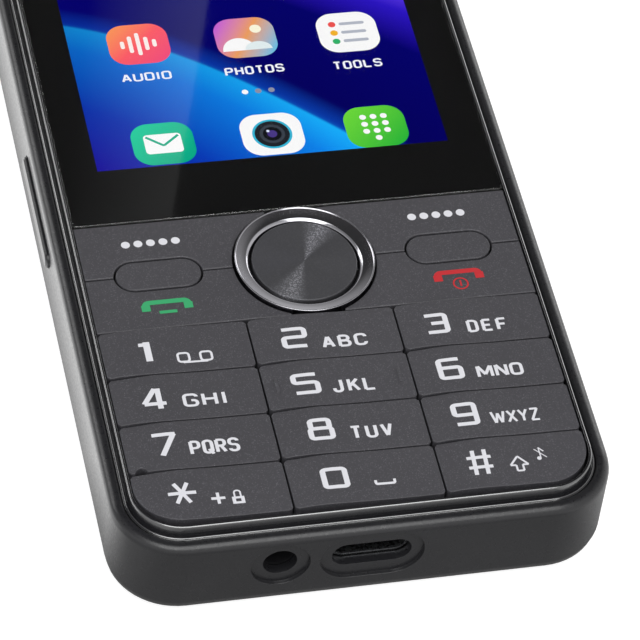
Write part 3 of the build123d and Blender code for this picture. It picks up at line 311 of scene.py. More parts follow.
@dataclass(frozen=True)
class SpunMetal(Finish):
    """Lacquered aluminium disc turned on a lathe, with two rays of light painted into its colour.

    Circles as fine as a lathe cuts are too fine to show. These are drawn coarser, 1.6 mm apart.
    """

    centre: Point
    ring_pitch_mm: float = 1.6
    ring_depth_mm: float = 0.006
    ring_waver: float = 0.6
    painted_sparkle_mm: float = 0.14
    roughness: float = 0.36
    metallic: float = 0.3
    anisotropy: float = 0.6
    # Painted highlight: grey of each direction round the disc, in turns, lighter in the two rays.
    painted_rays: Stops = (
        (0.0, "#454549"),
        (0.09, "#464649"),
        (0.168, "#69696d"),
        (0.236, "#464649"),
        (0.594, "#454548"),
        (0.668, "#6d6d72"),
        (0.736, "#464649"),
        (1.0, "#454549"),
    )

    def surface(self, tree: Tree) -> Sockets:
        """Turn the circles, paint the rays of light into the colour and paint glints into them.

        Args:
            tree: Node tree that gets the patterns.

        Returns:
            Values and links of the surface shader.
        """
        place = add_node(tree, "ShaderNodeTexCoord").outputs["Object"]
        centred = add_node(
            tree,
            "ShaderNodeMapping",
            {"Vector": place, "Location": (-self.centre[0], -self.centre[1], 0.0)},
        ).outputs["Vector"]
        circles = add_node(
            tree,
            "ShaderNodeTexWave",
            {
                "Vector": centred,
                "Scale": WAVE_TURN / (self.ring_pitch_mm * MM),
                "Distortion": self.ring_waver,
            },
            wave_type="RINGS",
            rings_direction="Z",
        )
        bump = add_node(
            tree,
            "ShaderNodeBump",
            {
                "Height": circles.outputs["Fac"],
                "Distance": self.ring_depth_mm * MM,
                "Strength": 0.6,
            },
        )
        angle = add_node(tree, "ShaderNodeTexGradient", {"Vector": centred}, gradient_type="RADIAL")
        # Painted highlight: the rays are lighter greys laid into the base colour.
        painted_rays = add_node(tree, "ShaderNodeValToRGB", {"Fac": angle.outputs["Fac"]})
        painted_rays.color_ramp.interpolation = "EASE"
        set_ramp(painted_rays, self.painted_rays)
        painted_sparkle = add_node(
            tree,
            "ShaderNodeTexNoise",
            {"Vector": place, "Scale": 1 / (self.painted_sparkle_mm * MM), "Detail": 0.0},
        )
        points = add_node(
            tree,
            "ShaderNodeMapRange",
            {"Value": painted_sparkle.outputs["Fac"], "From Min": 0.53, "From Max": 0.66, "To Min": 0.38},
        )
        # Painted glints: bright points, for light off the lathe's chatter, only in the painted
        # rays.
        painted_glint = add_node(
            tree,
            "ShaderNodeMapRange",
            {"Value": painted_rays.outputs["Color"], "From Min": 0.06, "From Max": 0.14, "To Min": 0.12},
        )
        # The base colour carries the painted rays with the painted glints over them.
        mixed = add_node(
            tree,
            "ShaderNodeMix",
            {
                "Factor": painted_glint.outputs["Result"],
                "A": painted_rays.outputs["Color"],
                "B": points.outputs["Result"],
            },
            data_type="RGBA",
            blend_type="OVERLAY",
        )
        tangent = add_node(tree, "ShaderNodeTangent", direction_type="RADIAL", axis="Z")
        return {
            "Base Color": mixed.outputs["Result"],
            "Roughness": self.roughness,
            "Metallic": self.metallic,
            "Anisotropic": self.anisotropy,
            "Normal": bump.outputs["Normal"],
            "Tangent": tangent.outputs["Tangent"],
        }


@dataclass(frozen=True)
class ClearPane(Finish):
    """Clear glass or plastic, polished on both faces."""

    roughness: float = 0.02
    ior: float = 1.5
    colour: str = "#ffffff"

    def surface(self, tree: Tree) -> Sockets:
        """Let all light through.

        Args:
            tree: Node tree, which gets no pattern.

        Returns:
            Values of the surface shader.
        """
        return {
            "Base Color": linear(self.colour),
            "Roughness": self.roughness,
            "IOR": self.ior,
            "Transmission Weight": 1.0,
        }


@dataclass(frozen=True)
class Print(Finish):
    """Flat ink, slightly rough, with the faint unevenness of a screen print."""

    colour: str
    roughness: float = 0.5
    specular: float = 0.5
    cover_mm: float = 0.3
    roughness_swing: float = 0.1

    def surface(self, tree: Tree) -> Sockets:
        """Vary the gloss as the ink's cover varies.

        Args:
            tree: Node tree that gets the pattern.

        Returns:
            Values and links of the surface shader.
        """
        place = add_node(tree, "ShaderNodeTexCoord").outputs["Object"]
        cover = add_node(
            tree,
            "ShaderNodeTexNoise",
            {"Vector": place, "Scale": 1 / (self.cover_mm * MM), "Detail": 2.0},
        )
        gloss = add_node(
            tree,
            "ShaderNodeMapRange",
            {
                "Value": cover.outputs["Fac"],
                "To Min": self.roughness - self.roughness_swing,
                "To Max": self.roughness + self.roughness_swing,
            },
        )
        return {
            "Base Color": linear(self.colour),
            "Roughness": gloss.outputs["Result"],
            "Specular IOR Level": self.specular,
        }


@dataclass(frozen=True)
class LitInk(Finish):
    """One ink of the lit display: plain, or running through colours across a tile."""

    colours: tuple[str, ...]
    centre: Point = (0.0, 0.0)
    heading_degrees: float = -45.0
    span_mm: float = 9.0

    def surface(self, tree: Tree) -> Sockets:
        """Run through the ink's colours along its heading.

        Args:
            tree: Node tree that gets the pattern.

        Returns:
            Values and links of the surface shader.
        """
        if len(self.colours) == 1:
            return lit(linear(self.colours[0]))
        place = add_node(tree, "ShaderNodeTexCoord").outputs["Object"]
        heading = Vector(
            (cos(radians(self.heading_degrees)), sin(radians(self.heading_degrees)), 0.0)
        )
        along = add_node(
            tree, "ShaderNodeVectorMath", {0: place, 1: heading}, operation="DOT_PRODUCT"
        )
        middle = heading.x * self.centre[0] + heading.y * self.centre[1]
        share = add_node(
            tree,
            "ShaderNodeMapRange",
            {
                "Value": along.outputs["Value"],
                "From Min": middle - self.span_mm * MM / 2,
                "From Max": middle + self.span_mm * MM / 2,
            },
        )
        run = add_node(tree, "ShaderNodeValToRGB", {"Fac": share.outputs["Result"]})
        steps = len(self.colours) - 1
        set_ramp(run, tuple((index / steps, shade) for index, shade in enumerate(self.colours)))
        return lit(run.outputs["Color"])


@dataclass(frozen=True)
class LitSweep(Finish):
    """Lit background: wide ribbons of blue, cyan and violet that sweep round a far centre."""

    centre: Point
    inner_mm: float
    outer_mm: float
    wander_mm: float = 70.0
    wander_share: float = 0.3
    fold_mm: Point = (-26.0, 8.0)
    fold_depth: float = 0.55
    fold_colour: str = "#05027c"
    # Colours from the inner radius to the outer one.
    ribbons: Stops = (
        (0.0, "#02005a"),
        (0.22, "#04006c"),
        (0.3, "#1b10b0"),
        (0.38, "#0b45c8"),
        (0.47, "#0f86f0"),
        (0.508, "#18b0ff"),
        (0.512, "#0a3fb0"),
        (0.54, "#04015e"),
        (0.66, "#04026a"),
        (0.72, "#2c16c4"),
        (0.775, "#7148ff"),
        (0.779, "#0c3fb4"),
        (0.87, "#1173ed"),
        (0.93, "#22b5ff"),
        (0.934, "#03005a"),
        (1.0, "#050068"),
    )

    def surface(self, tree: Tree) -> Sockets:
        """Bend the ribbons round their centre and fold them towards the left.

        Args:
            tree: Node tree that gets the pattern.

        Returns:
            Values and links of the surface shader.
        """
        place = add_node(tree, "ShaderNodeTexCoord").outputs["Object"]
        centred = add_node(
            tree,
            "ShaderNodeMapping",
            {"Vector": place, "Location": (-self.centre[0], -self.centre[1], 0.0)},
        ).outputs["Vector"]
        wander = add_node(
            tree,
            "ShaderNodeTexNoise",
            {"Vector": place, "Scale": 1 / (self.wander_mm * MM), "Detail": 0.0},
        )
        flat = add_node(
            tree, "ShaderNodeVectorMath", {0: centred, 1: (1.0, 1.0, 0.0)}, operation="MULTIPLY"
        )
        away = add_node(
            tree, "ShaderNodeVectorMath", {0: flat.outputs["Vector"]}, operation="LENGTH"
        )
        reach = add_node(
            tree,
            "ShaderNodeMapRange",
            {
                "Value": away.outputs["Value"],
                "From Min": self.inner_mm * MM,
                "From Max": self.outer_mm * MM,
            },
        )
        bent = add_node(
            tree,
            "ShaderNodeMath",
            {0: wander.outputs["Fac"], 1: self.wander_share, 2: reach.outputs["Result"]},
            operation="MULTIPLY_ADD",
        )
        sweep = add_node(tree, "ShaderNodeValToRGB", {"Fac": bent.outputs["Value"]})
        set_ramp(sweep, self.ribbons)
        # The ribbons dim towards the left, as folds of cloth turn from the light.
        across = add_node(tree, "ShaderNodeSeparateXYZ", {"Vector": place}).outputs["X"]
        dim = add_node(
            tree,
            "ShaderNodeMapRange",
            {
                "Value": across,
                "From Min": self.fold_mm[0] * MM,
                "From Max": self.fold_mm[1] * MM,
                "To Min": self.fold_depth,
                "To Max": 0.0,
            },
        )
        folded = add_node(
            tree,
            "ShaderNodeMix",
            {
                "Factor": dim.outputs["Result"],
                "A": sweep.outputs["Color"],
                "B": linear(self.fold_colour),
            },
            data_type="RGBA",
        )
        return lit(folded.outputs["Result"])


@dataclass(frozen=True)
class Woven(Finish):
    """Woven cloth: two crossing sets of threads, drawn coarser than real ones so that they show."""

    colour: str
    thread_mm: float = 2.0
    thread_depth_mm: float = 0.03
    roughness: float = 0.6
    # Painted shade: the holes between the threads are near black.
    hole_shade_colour: str = "#050505"

    def surface(self, tree: Tree) -> Sockets:
        """Cross the two sets of threads, with painted shade in the holes between them.

        Args:
            tree: Node tree that gets the pattern.

        Returns:
            Values and links of the surface shader.
        """
        place = add_node(tree, "ShaderNodeTexCoord").outputs["Object"]
        threads = [
            add_node(
                tree,
                "ShaderNodeTexWave",
                {"Vector": place, "Scale": WAVE_TURN / (self.thread_mm * MM)},
                bands_direction=direction,
            ).outputs["Fac"]
            for direction in ("X", "Y")
        ]
        weave = add_node(tree, "ShaderNodeMath", dict(enumerate(threads)), operation="MAXIMUM")
        colour = add_node(tree, "ShaderNodeValToRGB", {"Fac": weave.outputs["Value"]})
        # Near black in the holes for painted shade, the threads' colour where they lie.
        set_ramp(colour, ((0.2, self.hole_shade_colour), (0.8, self.colour)))
        bump = add_node(
            tree,
            "ShaderNodeBump",
            {
                "Height": weave.outputs["Value"],
                "Distance": self.thread_depth_mm * MM,
                "Strength": 1.0,
            },
        )
        return {
            "Base Color": colour.outputs["Color"],
            "Roughness": self.roughness,
            "Normal": bump.outputs["Normal"],
        }


class Palette:
    """Every finish of the phone, built once and handed out by name."""

    def __init__(self) -> None:
        """Build the materials."""
        finishes = [
            # Satin moulded polycarbonate: deep grey, soft sheen, faint pebble grain.
            Moulded(
                "moulded_polycarbonate_satin",
                "#1b1b1d",
                "#1f1f22",
                0.32,
                grain_mm=0.3,
                grain_depth_mm=0.001,
            ),
            # Painted bezel: darker, smoother and shinier than the shell, so that its edges draw
            # bright lines.
            Moulded(
                "painted_bezel_semigloss",
                "#18181a",
                "#1d1d20",
                0.17,
                0.02,
                grain_depth_mm=0.0,
                coat=1.0,
                ior=2.1,
            ),
            # Soft-touch painted keys: matt charcoal with a metallic fleck that glints in points.
            Moulded("soft_touch_key_paint", "#3a393d", "#3d3c40", 0.5, grain_mm=0.1, fleck_mm=0.09),
            # Dark plated zinc: a mirror that is nearly black between its highlights.
            Moulded("dark_chrome_plate", "#a6a5aa", "#adacb1", 0.14, 0.03, 1.0, grain_depth_mm=0.0),
            # Moulded silicone rubber: dull and black, so that the seams between the keys stay dark.
            Moulded("silicone_rubber_black", "#161618", "#1c1c1e", 0.7, grain_mm=0.4),
            # Turned acetal: waxy dark grey with a soft sheen.
            Moulded("acetal_washer", "#2a2a2c", "#333336", 0.45),
            # Polyester film: pale and drawn flat, with a glossy face.
            Moulded("polyester_dome_film", "#b9bcc0", "#a7aaae", 0.35, coat=0.4),
            # Board under green solder mask: glassy lacquer over faint copper shadows.
            Moulded("solder_mask_board", "#0f3b2a", "#15503a", 0.3, grain_mm=0.8, coat=0.5),
            # Pressed steel dipped in tin: bright and slightly clouded.
            Moulded("tin_plated_steel", "#b8babd", "#a9abae", 0.28, 0.08, 1.0, grain_mm=0.5),
            # Gold plate: a warm yellow mirror on small contacts.
            Moulded("gold_plated_contact", "#d8b25a", "#caa24b", 0.22, 0.05, 1.0),
            # Glass-filled nylon: black, dry, with a faint fibre mottle.
            Moulded(
                "glass_filled_nylon", "#1d1d1f", "#262628", 0.55, grain_mm=0.35, grain_depth_mm=0.01
            ),
            # Cast black resin of small components: plain and half matt.
            Moulded("component_black_resin", "#141416", "#1b1b1d", 0.4),
            # Copper under brown film: the metal's warmth below a shiny face.
            Moulded("copper_flex_film", "#9a5a2e", "#8a4e27", 0.35, 0.05, 0.4, coat=0.4),
            # Battery can in a printed sleeve: pale grey film drawn tight, half glossy.
            Moulded("battery_shrink_sleeve", "#c9cbce", "#bfc1c4", 0.38, grain_mm=2.0, coat=0.2),
            # Cut foam tape: open and matt black.
            Moulded(
                "black_foam_tape", "#121213", "#18181a", 0.85, grain_mm=0.2, grain_depth_mm=0.02
            ),
            # Phosphor of a light that is off: matt yellow.
            Moulded("led_phosphor", "#e9d77a", "#f0e08c", 0.5),
            # Woven cloth: dark threads, with painted shade in the black holes between them. The
            # threads are drawn 2.2 mm apart, coarser than real ones.
            Woven("woven_speaker_cloth", "#2b2b2d", 2.2),
            # Strengthened glass: clear, and so smooth that it mirrors the room.
            ClearPane("strengthened_cover_glass"),
            # Moulded acrylic: clear, a little softer in its mirror than glass.
            ClearPane("clear_acrylic", 0.04, 1.49),
            # Ink on the glass's underside: dry black that mirrors nothing itself.
            Print("black_border_print", "#202020", 0.7, 0.0),
            # Screen-printed legends: flat pale, green and red inks, half matt.
            Print("legend_ink_light_grey", "#cfcfd4", 0.45),
            Print("legend_ink_green", "#349a63", 0.45),
            Print("legend_ink_red", "#b4262c", 0.45),
        ]
        self.materials = {finish.name: finish.build() for finish in finishes}

    def take(self, name: str) -> Material:
        """Return a material by its name."""
        return self.materials[name]

    def keep(self, finish: Finish) -> Material:
        """Build one more finish, unless it is there already.

        Args:
            finish: Finish to build.

        Returns:
            The material.
        """
        if finish.name not in self.materials:
            self.materials[finish.name] = finish.build()
        return self.materials[finish.name]


# Finish of each material slot of the record.
SLOT_FINISH = {
    "shell_plastic": "moulded_polycarbonate_satin",
    "bezel_plastic": "painted_bezel_semigloss",
    "key_plastic": "soft_touch_key_paint",
    "ring_metal": "dark_chrome_plate",
    "cover_glass": "strengthened_cover_glass",
    "display": "component_black_resin",
    "tape": "black_foam_tape",
    "silicone": "silicone_rubber_black",
    "washer_plastic": "acetal_washer",
    "dome_film": "polyester_dome_film",
    "board": "solder_mask_board",
    "steel": "tin_plated_steel",
    "gold_contact": "gold_plated_contact",
    "chassis_plastic": "glass_filled_nylon",
    "component_black": "component_black_resin",
    "copper_flex": "copper_flex_film",
    "battery_can": "battery_shrink_sleeve",
    "mesh": "woven_speaker_cloth",
    "clear_window": "clear_acrylic",
    "light_guide": "clear_acrylic",
    "led": "led_phosphor",
}


# Meshes


@dataclass
class Frame:
    """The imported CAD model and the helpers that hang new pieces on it."""

    loaded: dict
    palette: Palette
    half_length_mm: float = 64.0
    merge_mm: float = 0.002
    flat_degrees: float = 0.4
    node_body: dict[str, str] = field(default_factory=dict)
    node_slot: dict[str, str] = field(default_factory=dict)

    def __post_init__(self) -> None:
        """Look up each node's body and material slot."""
        for body, nodes in self.loaded["record"]["behaviour"]["bodies"].items():
            for node in nodes:
                self.node_body[node] = body
        for subpart in self.loaded["record"]["subparts"]:
            self.node_slot[subpart["node"]] = subpart["material_slot"]

    def at(self, x: float, y: float, z: float) -> Vector:
        """Place in metres of millimetres from the middle line, the keypad end and the back."""
        return Vector((x * MM, (y - self.half_length_mm) * MM, z * MM))

    def dress_nodes(self) -> None:
        """Give every CAD node the finish of its slot."""
        for name, node in self.loaded["nodes"].items():
            material = self.palette.take(SLOT_FINISH[self.node_slot[name]])
            for slot in node.material_slots:
                slot.material = material
            if not node.material_slots:
                node.data.materials.append(material)

    def solid(self, node: str) -> Mesh:
        """Copy a node's mesh with its doubles merged and its flat faces joined.

        Args:
            node: Name of the CAD node.

        Returns:
            A new bmesh, which the caller frees.
        """
        mesh = bmesh.new()
        mesh.from_mesh(self.loaded["nodes"][node].data)
        bmesh.ops.remove_doubles(mesh, verts=mesh.verts, dist=self.merge_mm * MM)
        bmesh.ops.dissolve_limit(
            mesh,
            angle_limit=radians(self.flat_degrees),
            verts=mesh.verts,
            edges=mesh.edges,
            use_dissolve_boundaries=False,
        )
        return mesh

    def piece(
        self,
        name: str,
        mesh: Mesh,
        material: Material,
        body: str,
        slot: str,
        smooth_degrees: float = 40.0,
        replaces: str | None = None,
    ) -> Thing:
        """Turn a bmesh into a finished piece that rides on a body.

        Args:
            name: Name of the piece.
            mesh: Mesh in metres, freed here.
            material: Its finish.
            body: CAD body that it moves with.
            slot: Material slot of the record, not used.
            smooth_degrees: Edges sharper than this stay crisp.
            replaces: CAD node that it stands for.

        Returns:
            The new object.
        """
        data = bpy.data.meshes.new(name)
        mesh.to_mesh(data)
        mesh.free()
        for face in data.polygons:
            face.use_smooth = True
        data.set_sharp_from_angle(angle=radians(smooth_degrees))
        data.materials.append(material)
        piece = bpy.data.objects.new(name, data)
        bpy.context.scene.collection.objects.link(piece)
        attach(piece, body)
        if replaces:
            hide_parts(replaces)
        LOG.info("%s, which moves with %s", name, body)
        return piece


def bevel_edges(mesh: Mesh, edges: list, width_mm: float, segments: int) -> None:
    """Round edges of a mesh.

    Args:
        mesh: Mesh to change.
        edges: Edges to round.
        width_mm: Width of the round.
        segments: Number of its facets.
    """
    bmesh.ops.bevel(
        mesh,
        geom=edges,
        offset=width_mm * MM,
        offset_type="OFFSET",
        segments=segments,
        profile=0.5,
        affect="EDGES",
        clamp_overlap=True,
        loop_slide=True,
        material=-1,
    )


def sharp_edges(mesh: Mesh, degrees: float) -> list:
    """Edges whose faces turn by more than an angle.

    Args:
        mesh: Mesh to search.
        degrees: Least turn.

    Returns:
        The edges.
    """
    least = radians(degrees)
    shared = [edge for edge in mesh.edges if len(edge.link_faces) == 2]
    return [edge for edge in shared if edge.calc_face_angle(0.0) >= least]


def rounded_plate(width_mm: float, length_mm: float, corner_mm: float, segments: int = 6) -> Mesh:
    """Flat rounded rectangle about the origin, facing up.

    Args:
        width_mm: Size along X.
        length_mm: Size along Y.
        corner_mm: Radius of its corners.
        segments: Facets of each corner.

    Returns:
        A new bmesh with one face.
    """
    mesh = bmesh.new()
    bmesh.ops.create_grid(mesh, x_segments=1, y_segments=1, size=0.5)
    bmesh.ops.scale(mesh, vec=(width_mm * MM, length_mm * MM, 1), verts=mesh.verts)
    if corner_mm > 0:
        bmesh.ops.bevel(
            mesh,
            geom=mesh.verts[:],
            offset=corner_mm * MM,
            offset_type="OFFSET",
            segments=segments,
            profile=0.5,
            affect="VERTICES",
            clamp_overlap=False,
            material=-1,
        )
    return mesh


# Studio


def staged(name: str, mesh: Mesh, material: Material) -> Thing:
    """Make one thing of the studio, which is no part of the phone.

    Args:
        name: Its name.
        mesh: Its mesh, freed here.
        material: Its finish.

    Returns:
        The new object.
    """
    data = bpy.data.meshes.new(name)
    mesh.to_mesh(data)
    mesh.free()
    data.materials.append(material)
    thing = bpy.data.objects.new(name, data)
    bpy.context.scene.collection.objects.link(thing)
    return thing


@dataclass(frozen=True)
class Softbox:
    """One square lamp that looks at the phone."""

    name: str
    place_mm: Place
    size_mm: float
    watts: float

    def build(self) -> None:
        """Hang the lamp."""
        data = bpy.data.lights.new(self.name, "AREA")
        data.shape = "SQUARE"
        data.size = self.size_mm * MM
        data.energy = self.watts
        lamp = bpy.data.objects.new(self.name, data)
        lamp.location = [value * MM for value in self.place_mm]
        lamp.rotation_euler = (-Vector(self.place_mm)).to_track_quat("-Z", "Y").to_euler()
        bpy.context.scene.collection.objects.link(lamp)


@dataclass
class Studio:
    """White floor, soft lamps, pale surroundings and the photograph's camera."""

    camera_place_mm: Place = (-93.28, -329.2, 354.19)
    camera_turn_degrees: Place = (41.972, -5.059, -11.881)
    focal_length_mm: float = 223.95
    sensor_mm: float = 36.0
    nearest_seen_m: float = 0.01
    floor_mm: float = 6000.0
    floor_drop_mm: float = 0.02
    floor_colour: str = "#aaaaaa"
    floor_glow: float = 0.8
    # What the shell mirrors of the floor: the axis, where a run starts and ends, and its levels
    # before and after.
    floor_left: tuple[str, Point, Point] = ("X", (-35.0, -28.0), (2.6, 0.08))
    floor_front: tuple[str, Point, Point] = ("Y", (-60.0, -40.0), (0.06, 1.0))
    floor_right: tuple[str, Point, Point] = ("X", (29.0, 42.0), (0.0, 0.6))
    # The dark ceiling panel: its direction, and its greys by the cosine of the angle to it.
    panel_direction: Place = (-0.05, 0.4, 0.915)
    panel_greys: Stops = (
        (0.45, "#ffffff"),
        (0.6, "#cccccc"),
        (0.7, "#b8b8b8"),
        (0.8, "#8a8a8a"),
        (0.88, "#444444"),
    )
    velvet_direction: Place = (0.19, 0.69, 0.7)
    velvet_cosines: Point = (0.965, 0.99)
    velvet_level: float = 0.1
    card_mm: Point = (40.0, 300.0)
    card_place_mm: Place = (124.0, 600.0, 620.0)
    card_lean_degrees: float = -3.2
    card_level: float = 0.3
    lamps: tuple[Softbox, ...] = (
        Softbox("softbox_left_back", (-490, 580, 490), 350, 1.2),
        Softbox("softbox_right_back", (740, 640, 220), 340, 0.9),
        Softbox("softbox_overhead_front", (-60, -420, 1000), 860, 9.0),
    )

    def build_camera(self) -> None:
        """Place the camera that took the photograph."""
        data = bpy.data.cameras.new("camera")
        data.lens = self.focal_length_mm
        data.sensor_width = self.sensor_mm
        data.clip_start = self.nearest_seen_m
        camera = bpy.data.objects.new("camera", data)
        camera.location = [value * MM for value in self.camera_place_mm]
        camera.rotation_euler = [radians(value) for value in self.camera_turn_degrees]
        bpy.context.scene.collection.objects.link(camera)
        bpy.context.scene.camera = camera

    def build_floor(self) -> None:
        """Lay the white floor, which keeps the phone's soft shadow."""
        material, tree = new_material("studio_floor_white")
        diffuse = add_node(tree, "ShaderNodeBsdfDiffuse", {"Color": linear(self.floor_colour)})
        path = add_node(tree, "ShaderNodeLightPath").outputs
        seen = add_node(
            tree,
            "ShaderNodeMath",
            {0: path["Is Camera Ray"], 1: path["Is Transmission Ray"]},
            operation="MAXIMUM",
        )
        glow = add_node(
            tree,
            "ShaderNodeMath",
            {0: seen.outputs["Value"], 1: self.floor_glow},
            operation="MULTIPLY",
        )
        # The floor the shell mirrors is brightest at the left, grey at the right, dim in front.
        place = add_node(tree, "ShaderNodeTexCoord").outputs["Object"]
        split = add_node(tree, "ShaderNodeSeparateXYZ", {"Vector": place}).outputs
        left, front, right = [
            add_node(
                tree,
                "ShaderNodeMapRange",
                {
                    "Value": split[axis],
                    "From Min": start * MM,
                    "From Max": end * MM,
                    "To Min": before,
                    "To Max": after,
                },
            ).outputs["Result"]
            for axis, (start, end), (before, after) in (
                self.floor_left,
                self.floor_front,
                self.floor_right,
            )
        ]
        beside = add_node(
            tree, "ShaderNodeMath", {0: left, 1: front, 2: right}, operation="MULTIPLY_ADD"
        )
        mirrored = add_node(
            tree,
            "ShaderNodeMath",
            {0: path["Is Glossy Ray"], 1: beside.outputs["Value"], 2: glow.outputs["Value"]},
            operation="MULTIPLY_ADD",
        )
        light = add_node(
            tree,
            "ShaderNodeEmission",
            {"Color": linear("#ffffff"), "Strength": mirrored.outputs["Value"]},
        )
        both = add_node(
            tree, "ShaderNodeAddShader", {0: diffuse.outputs["BSDF"], 1: light.outputs["Emission"]}
        )
        add_node(tree, "ShaderNodeOutputMaterial", {"Surface": both.outputs["Shader"]})
        floor = staged("studio_floor", rounded_plate(self.floor_mm, self.floor_mm, 0), material)
        floor.location.z = -self.floor_drop_mm * MM

    def build_world(self) -> None:
        """Surround the scene with light: white in front, a dark panel beyond the display."""
        world = bpy.data.worlds.new("studio_air")
        bpy.context.scene.world = world
        world.use_nodes = True
        tree = world.node_tree
        tree.nodes.clear()
        direction = add_node(tree, "ShaderNodeTexCoord").outputs["Generated"]
        # How near a direction is to the dark panel that the glass and the ring mirror, and to
        # its velvet part.
        near_panel, near_velvet = [
            add_node(
                tree,
                "ShaderNodeVectorMath",
                {0: direction, 1: Vector(middle).normalized()},
                operation="DOT_PRODUCT",
            ).outputs["Value"]
            for middle in (self.panel_direction, self.velvet_direction)
        ]
        shade = add_node(tree, "ShaderNodeValToRGB", {"Fac": near_panel})
        set_ramp(shade, self.panel_greys)
        # That part of the panel is black velvet.
        velvet = add_node(
            tree,
            "ShaderNodeMapRange",
            {
                "Value": near_velvet,
                "From Min": self.velvet_cosines[0],
                "From Max": self.velvet_cosines[1],
                "To Min": 1.0,
                "To Max": self.velvet_level,
            },
            interpolation_type="SMOOTHSTEP",
        )
        panel = add_node(
            tree,
            "ShaderNodeMix",
            {"Factor": 1.0, "A": shade.outputs["Color"], "B": velvet.outputs["Result"]},
            data_type="RGBA",
            blend_type="MULTIPLY",
        )
        path = add_node(tree, "ShaderNodeLightPath").outputs
        level = add_node(
            tree,
            "ShaderNodeMix",
            {"Factor": path["Is Camera Ray"], "A": panel.outputs["Result"], "B": linear("#ffffff")},
            data_type="RGBA",
        )
        back = add_node(
            tree, "ShaderNodeBackground", {"Color": level.outputs["Result"], "Strength": 1.0}
        )
        add_node(tree, "ShaderNodeOutputWorld", {"Surface": back.outputs["Background"]})

    def build_card(self) -> None:
        """Stand a grey card beyond the display, which the glass mirrors as a pale wedge."""
        material, tree = new_material("studio_card_fading")
        place = add_node(tree, "ShaderNodeTexCoord").outputs["Object"]
        across = add_node(tree, "ShaderNodeSeparateXYZ", {"Vector": place}).outputs["X"]
        half = self.card_mm[0] / 2
        fade = add_node(
            tree,
            "ShaderNodeMapRange",
            {
                "Value": across,
                "From Min": -half * MM,
                "From Max": half * MM,
                "To Min": 0.0,
                "To Max": self.card_level,
            },
        )
        light = add_node(
            tree,
            "ShaderNodeEmission",
            {"Color": linear("#ffffff"), "Strength": fade.outputs["Result"]},
        )
        clear = add_node(tree, "ShaderNodeBsdfTransparent")
        both = add_node(
            tree, "ShaderNodeAddShader", {0: light.outputs["Emission"], 1: clear.outputs["BSDF"]}
        )
        add_node(tree, "ShaderNodeOutputMaterial", {"Surface": both.outputs["Shader"]})
        card = staged("studio_card", rounded_plate(*self.card_mm, 0), material)
        card.rotation_euler = (radians(90), radians(self.card_lean_degrees), 0)
        card.location = [value * MM for value in self.card_place_mm]
        card.visible_camera = False
        card.visible_diffuse = False
        card.visible_shadow = False

    def build(self) -> None:
        """Set up the whole studio."""
        bpy.context.scene.view_settings.view_transform = "Standard"
        self.build_camera()
        self.build_floor()
        self.build_world()
        self.build_card()
        for lamp in self.lamps:
            lamp.build()
        LOG.info("studio with %d lamps", len(self.lamps))


# Body


@dataclass
class Body:
    """Shell, bezel, volume key and the other pieces kept from the CAD with finer edges."""

    frame: Frame
    recess_round_mm: float = 0.26
    recess_segments: int = 5
    # Left, right, low and high limits round the ports, and how near the end wall an edge lies.
    port_wall_mm: tuple[float, float, float, float] = (-15.0, 7.0, 1.9, 9.6)
    port_wall_near_mm: float = 0.02
    crease_degrees: float = 35.0
    round_segments: int = 2
    round_mm: dict[str, float] = field(
        default_factory=lambda: {
            "rear_cover": 0.06,
            "front_frame": 0.1,
            "volume_key": 0.06,
            "touch_glass": 0.03,
        }
    )

    def recess_edges(self, mesh: Mesh) -> list:
        """Outer edges of the two port recesses in the keypad end.

        Args:
            mesh: Copy of the shell.

        Returns:
            The edges.
        """
        left, right, low, high = self.port_wall_mm
        wall = self.frame.at(0, self.port_wall_near_mm, 0).y
        found = []
        for edge in sharp_edges(mesh, self.crease_degrees):
            places = [vert.co / MM for vert in edge.verts]
            in_wall = all(vert.co.y < wall for vert in edge.verts)
            if in_wall and all(left < place.x < right and low < place.z < high for place in places):
                found.append(edge)
        LOG.info("%d edges round the port recesses", len(found))
        return found

    def refined(self, node: str, round_mm: float, segments: int, degrees: float) -> Thing:
        """Replace a node by a copy of it with its sharp edges rounded.

        Args:
            node: Name of the CAD node.
            round_mm: Width of the rounds.
            segments: Facets of each round.
            degrees: Least turn of an edge that is rounded.

        Returns:
            The new piece.
        """
        mesh = self.frame.solid(node)
        if node == "rear_cover":
            bevel_edges(mesh, self.recess_edges(mesh), self.recess_round_mm, self.recess_segments)
        bevel_edges(mesh, sharp_edges(mesh, degrees), round_mm, segments)
        slot = self.frame.node_slot[node]
        piece = self.frame.piece(
            node + "_fine",
            mesh,
            self.frame.palette.take(SLOT_FINISH[slot]),
            self.frame.node_body[node],
            slot,
            replaces=node,
        )
        weighting = piece.modifiers.new("even_shading", "WEIGHTED_NORMAL")
        weighting.keep_sharp = True
        weighting.weight = 60
        return piece

    def build(self) -> None:
        """Build the finer pieces."""
        for node, round_mm in self.round_mm.items():
            self.refined(node, round_mm, self.round_segments, self.crease_degrees)


# Print


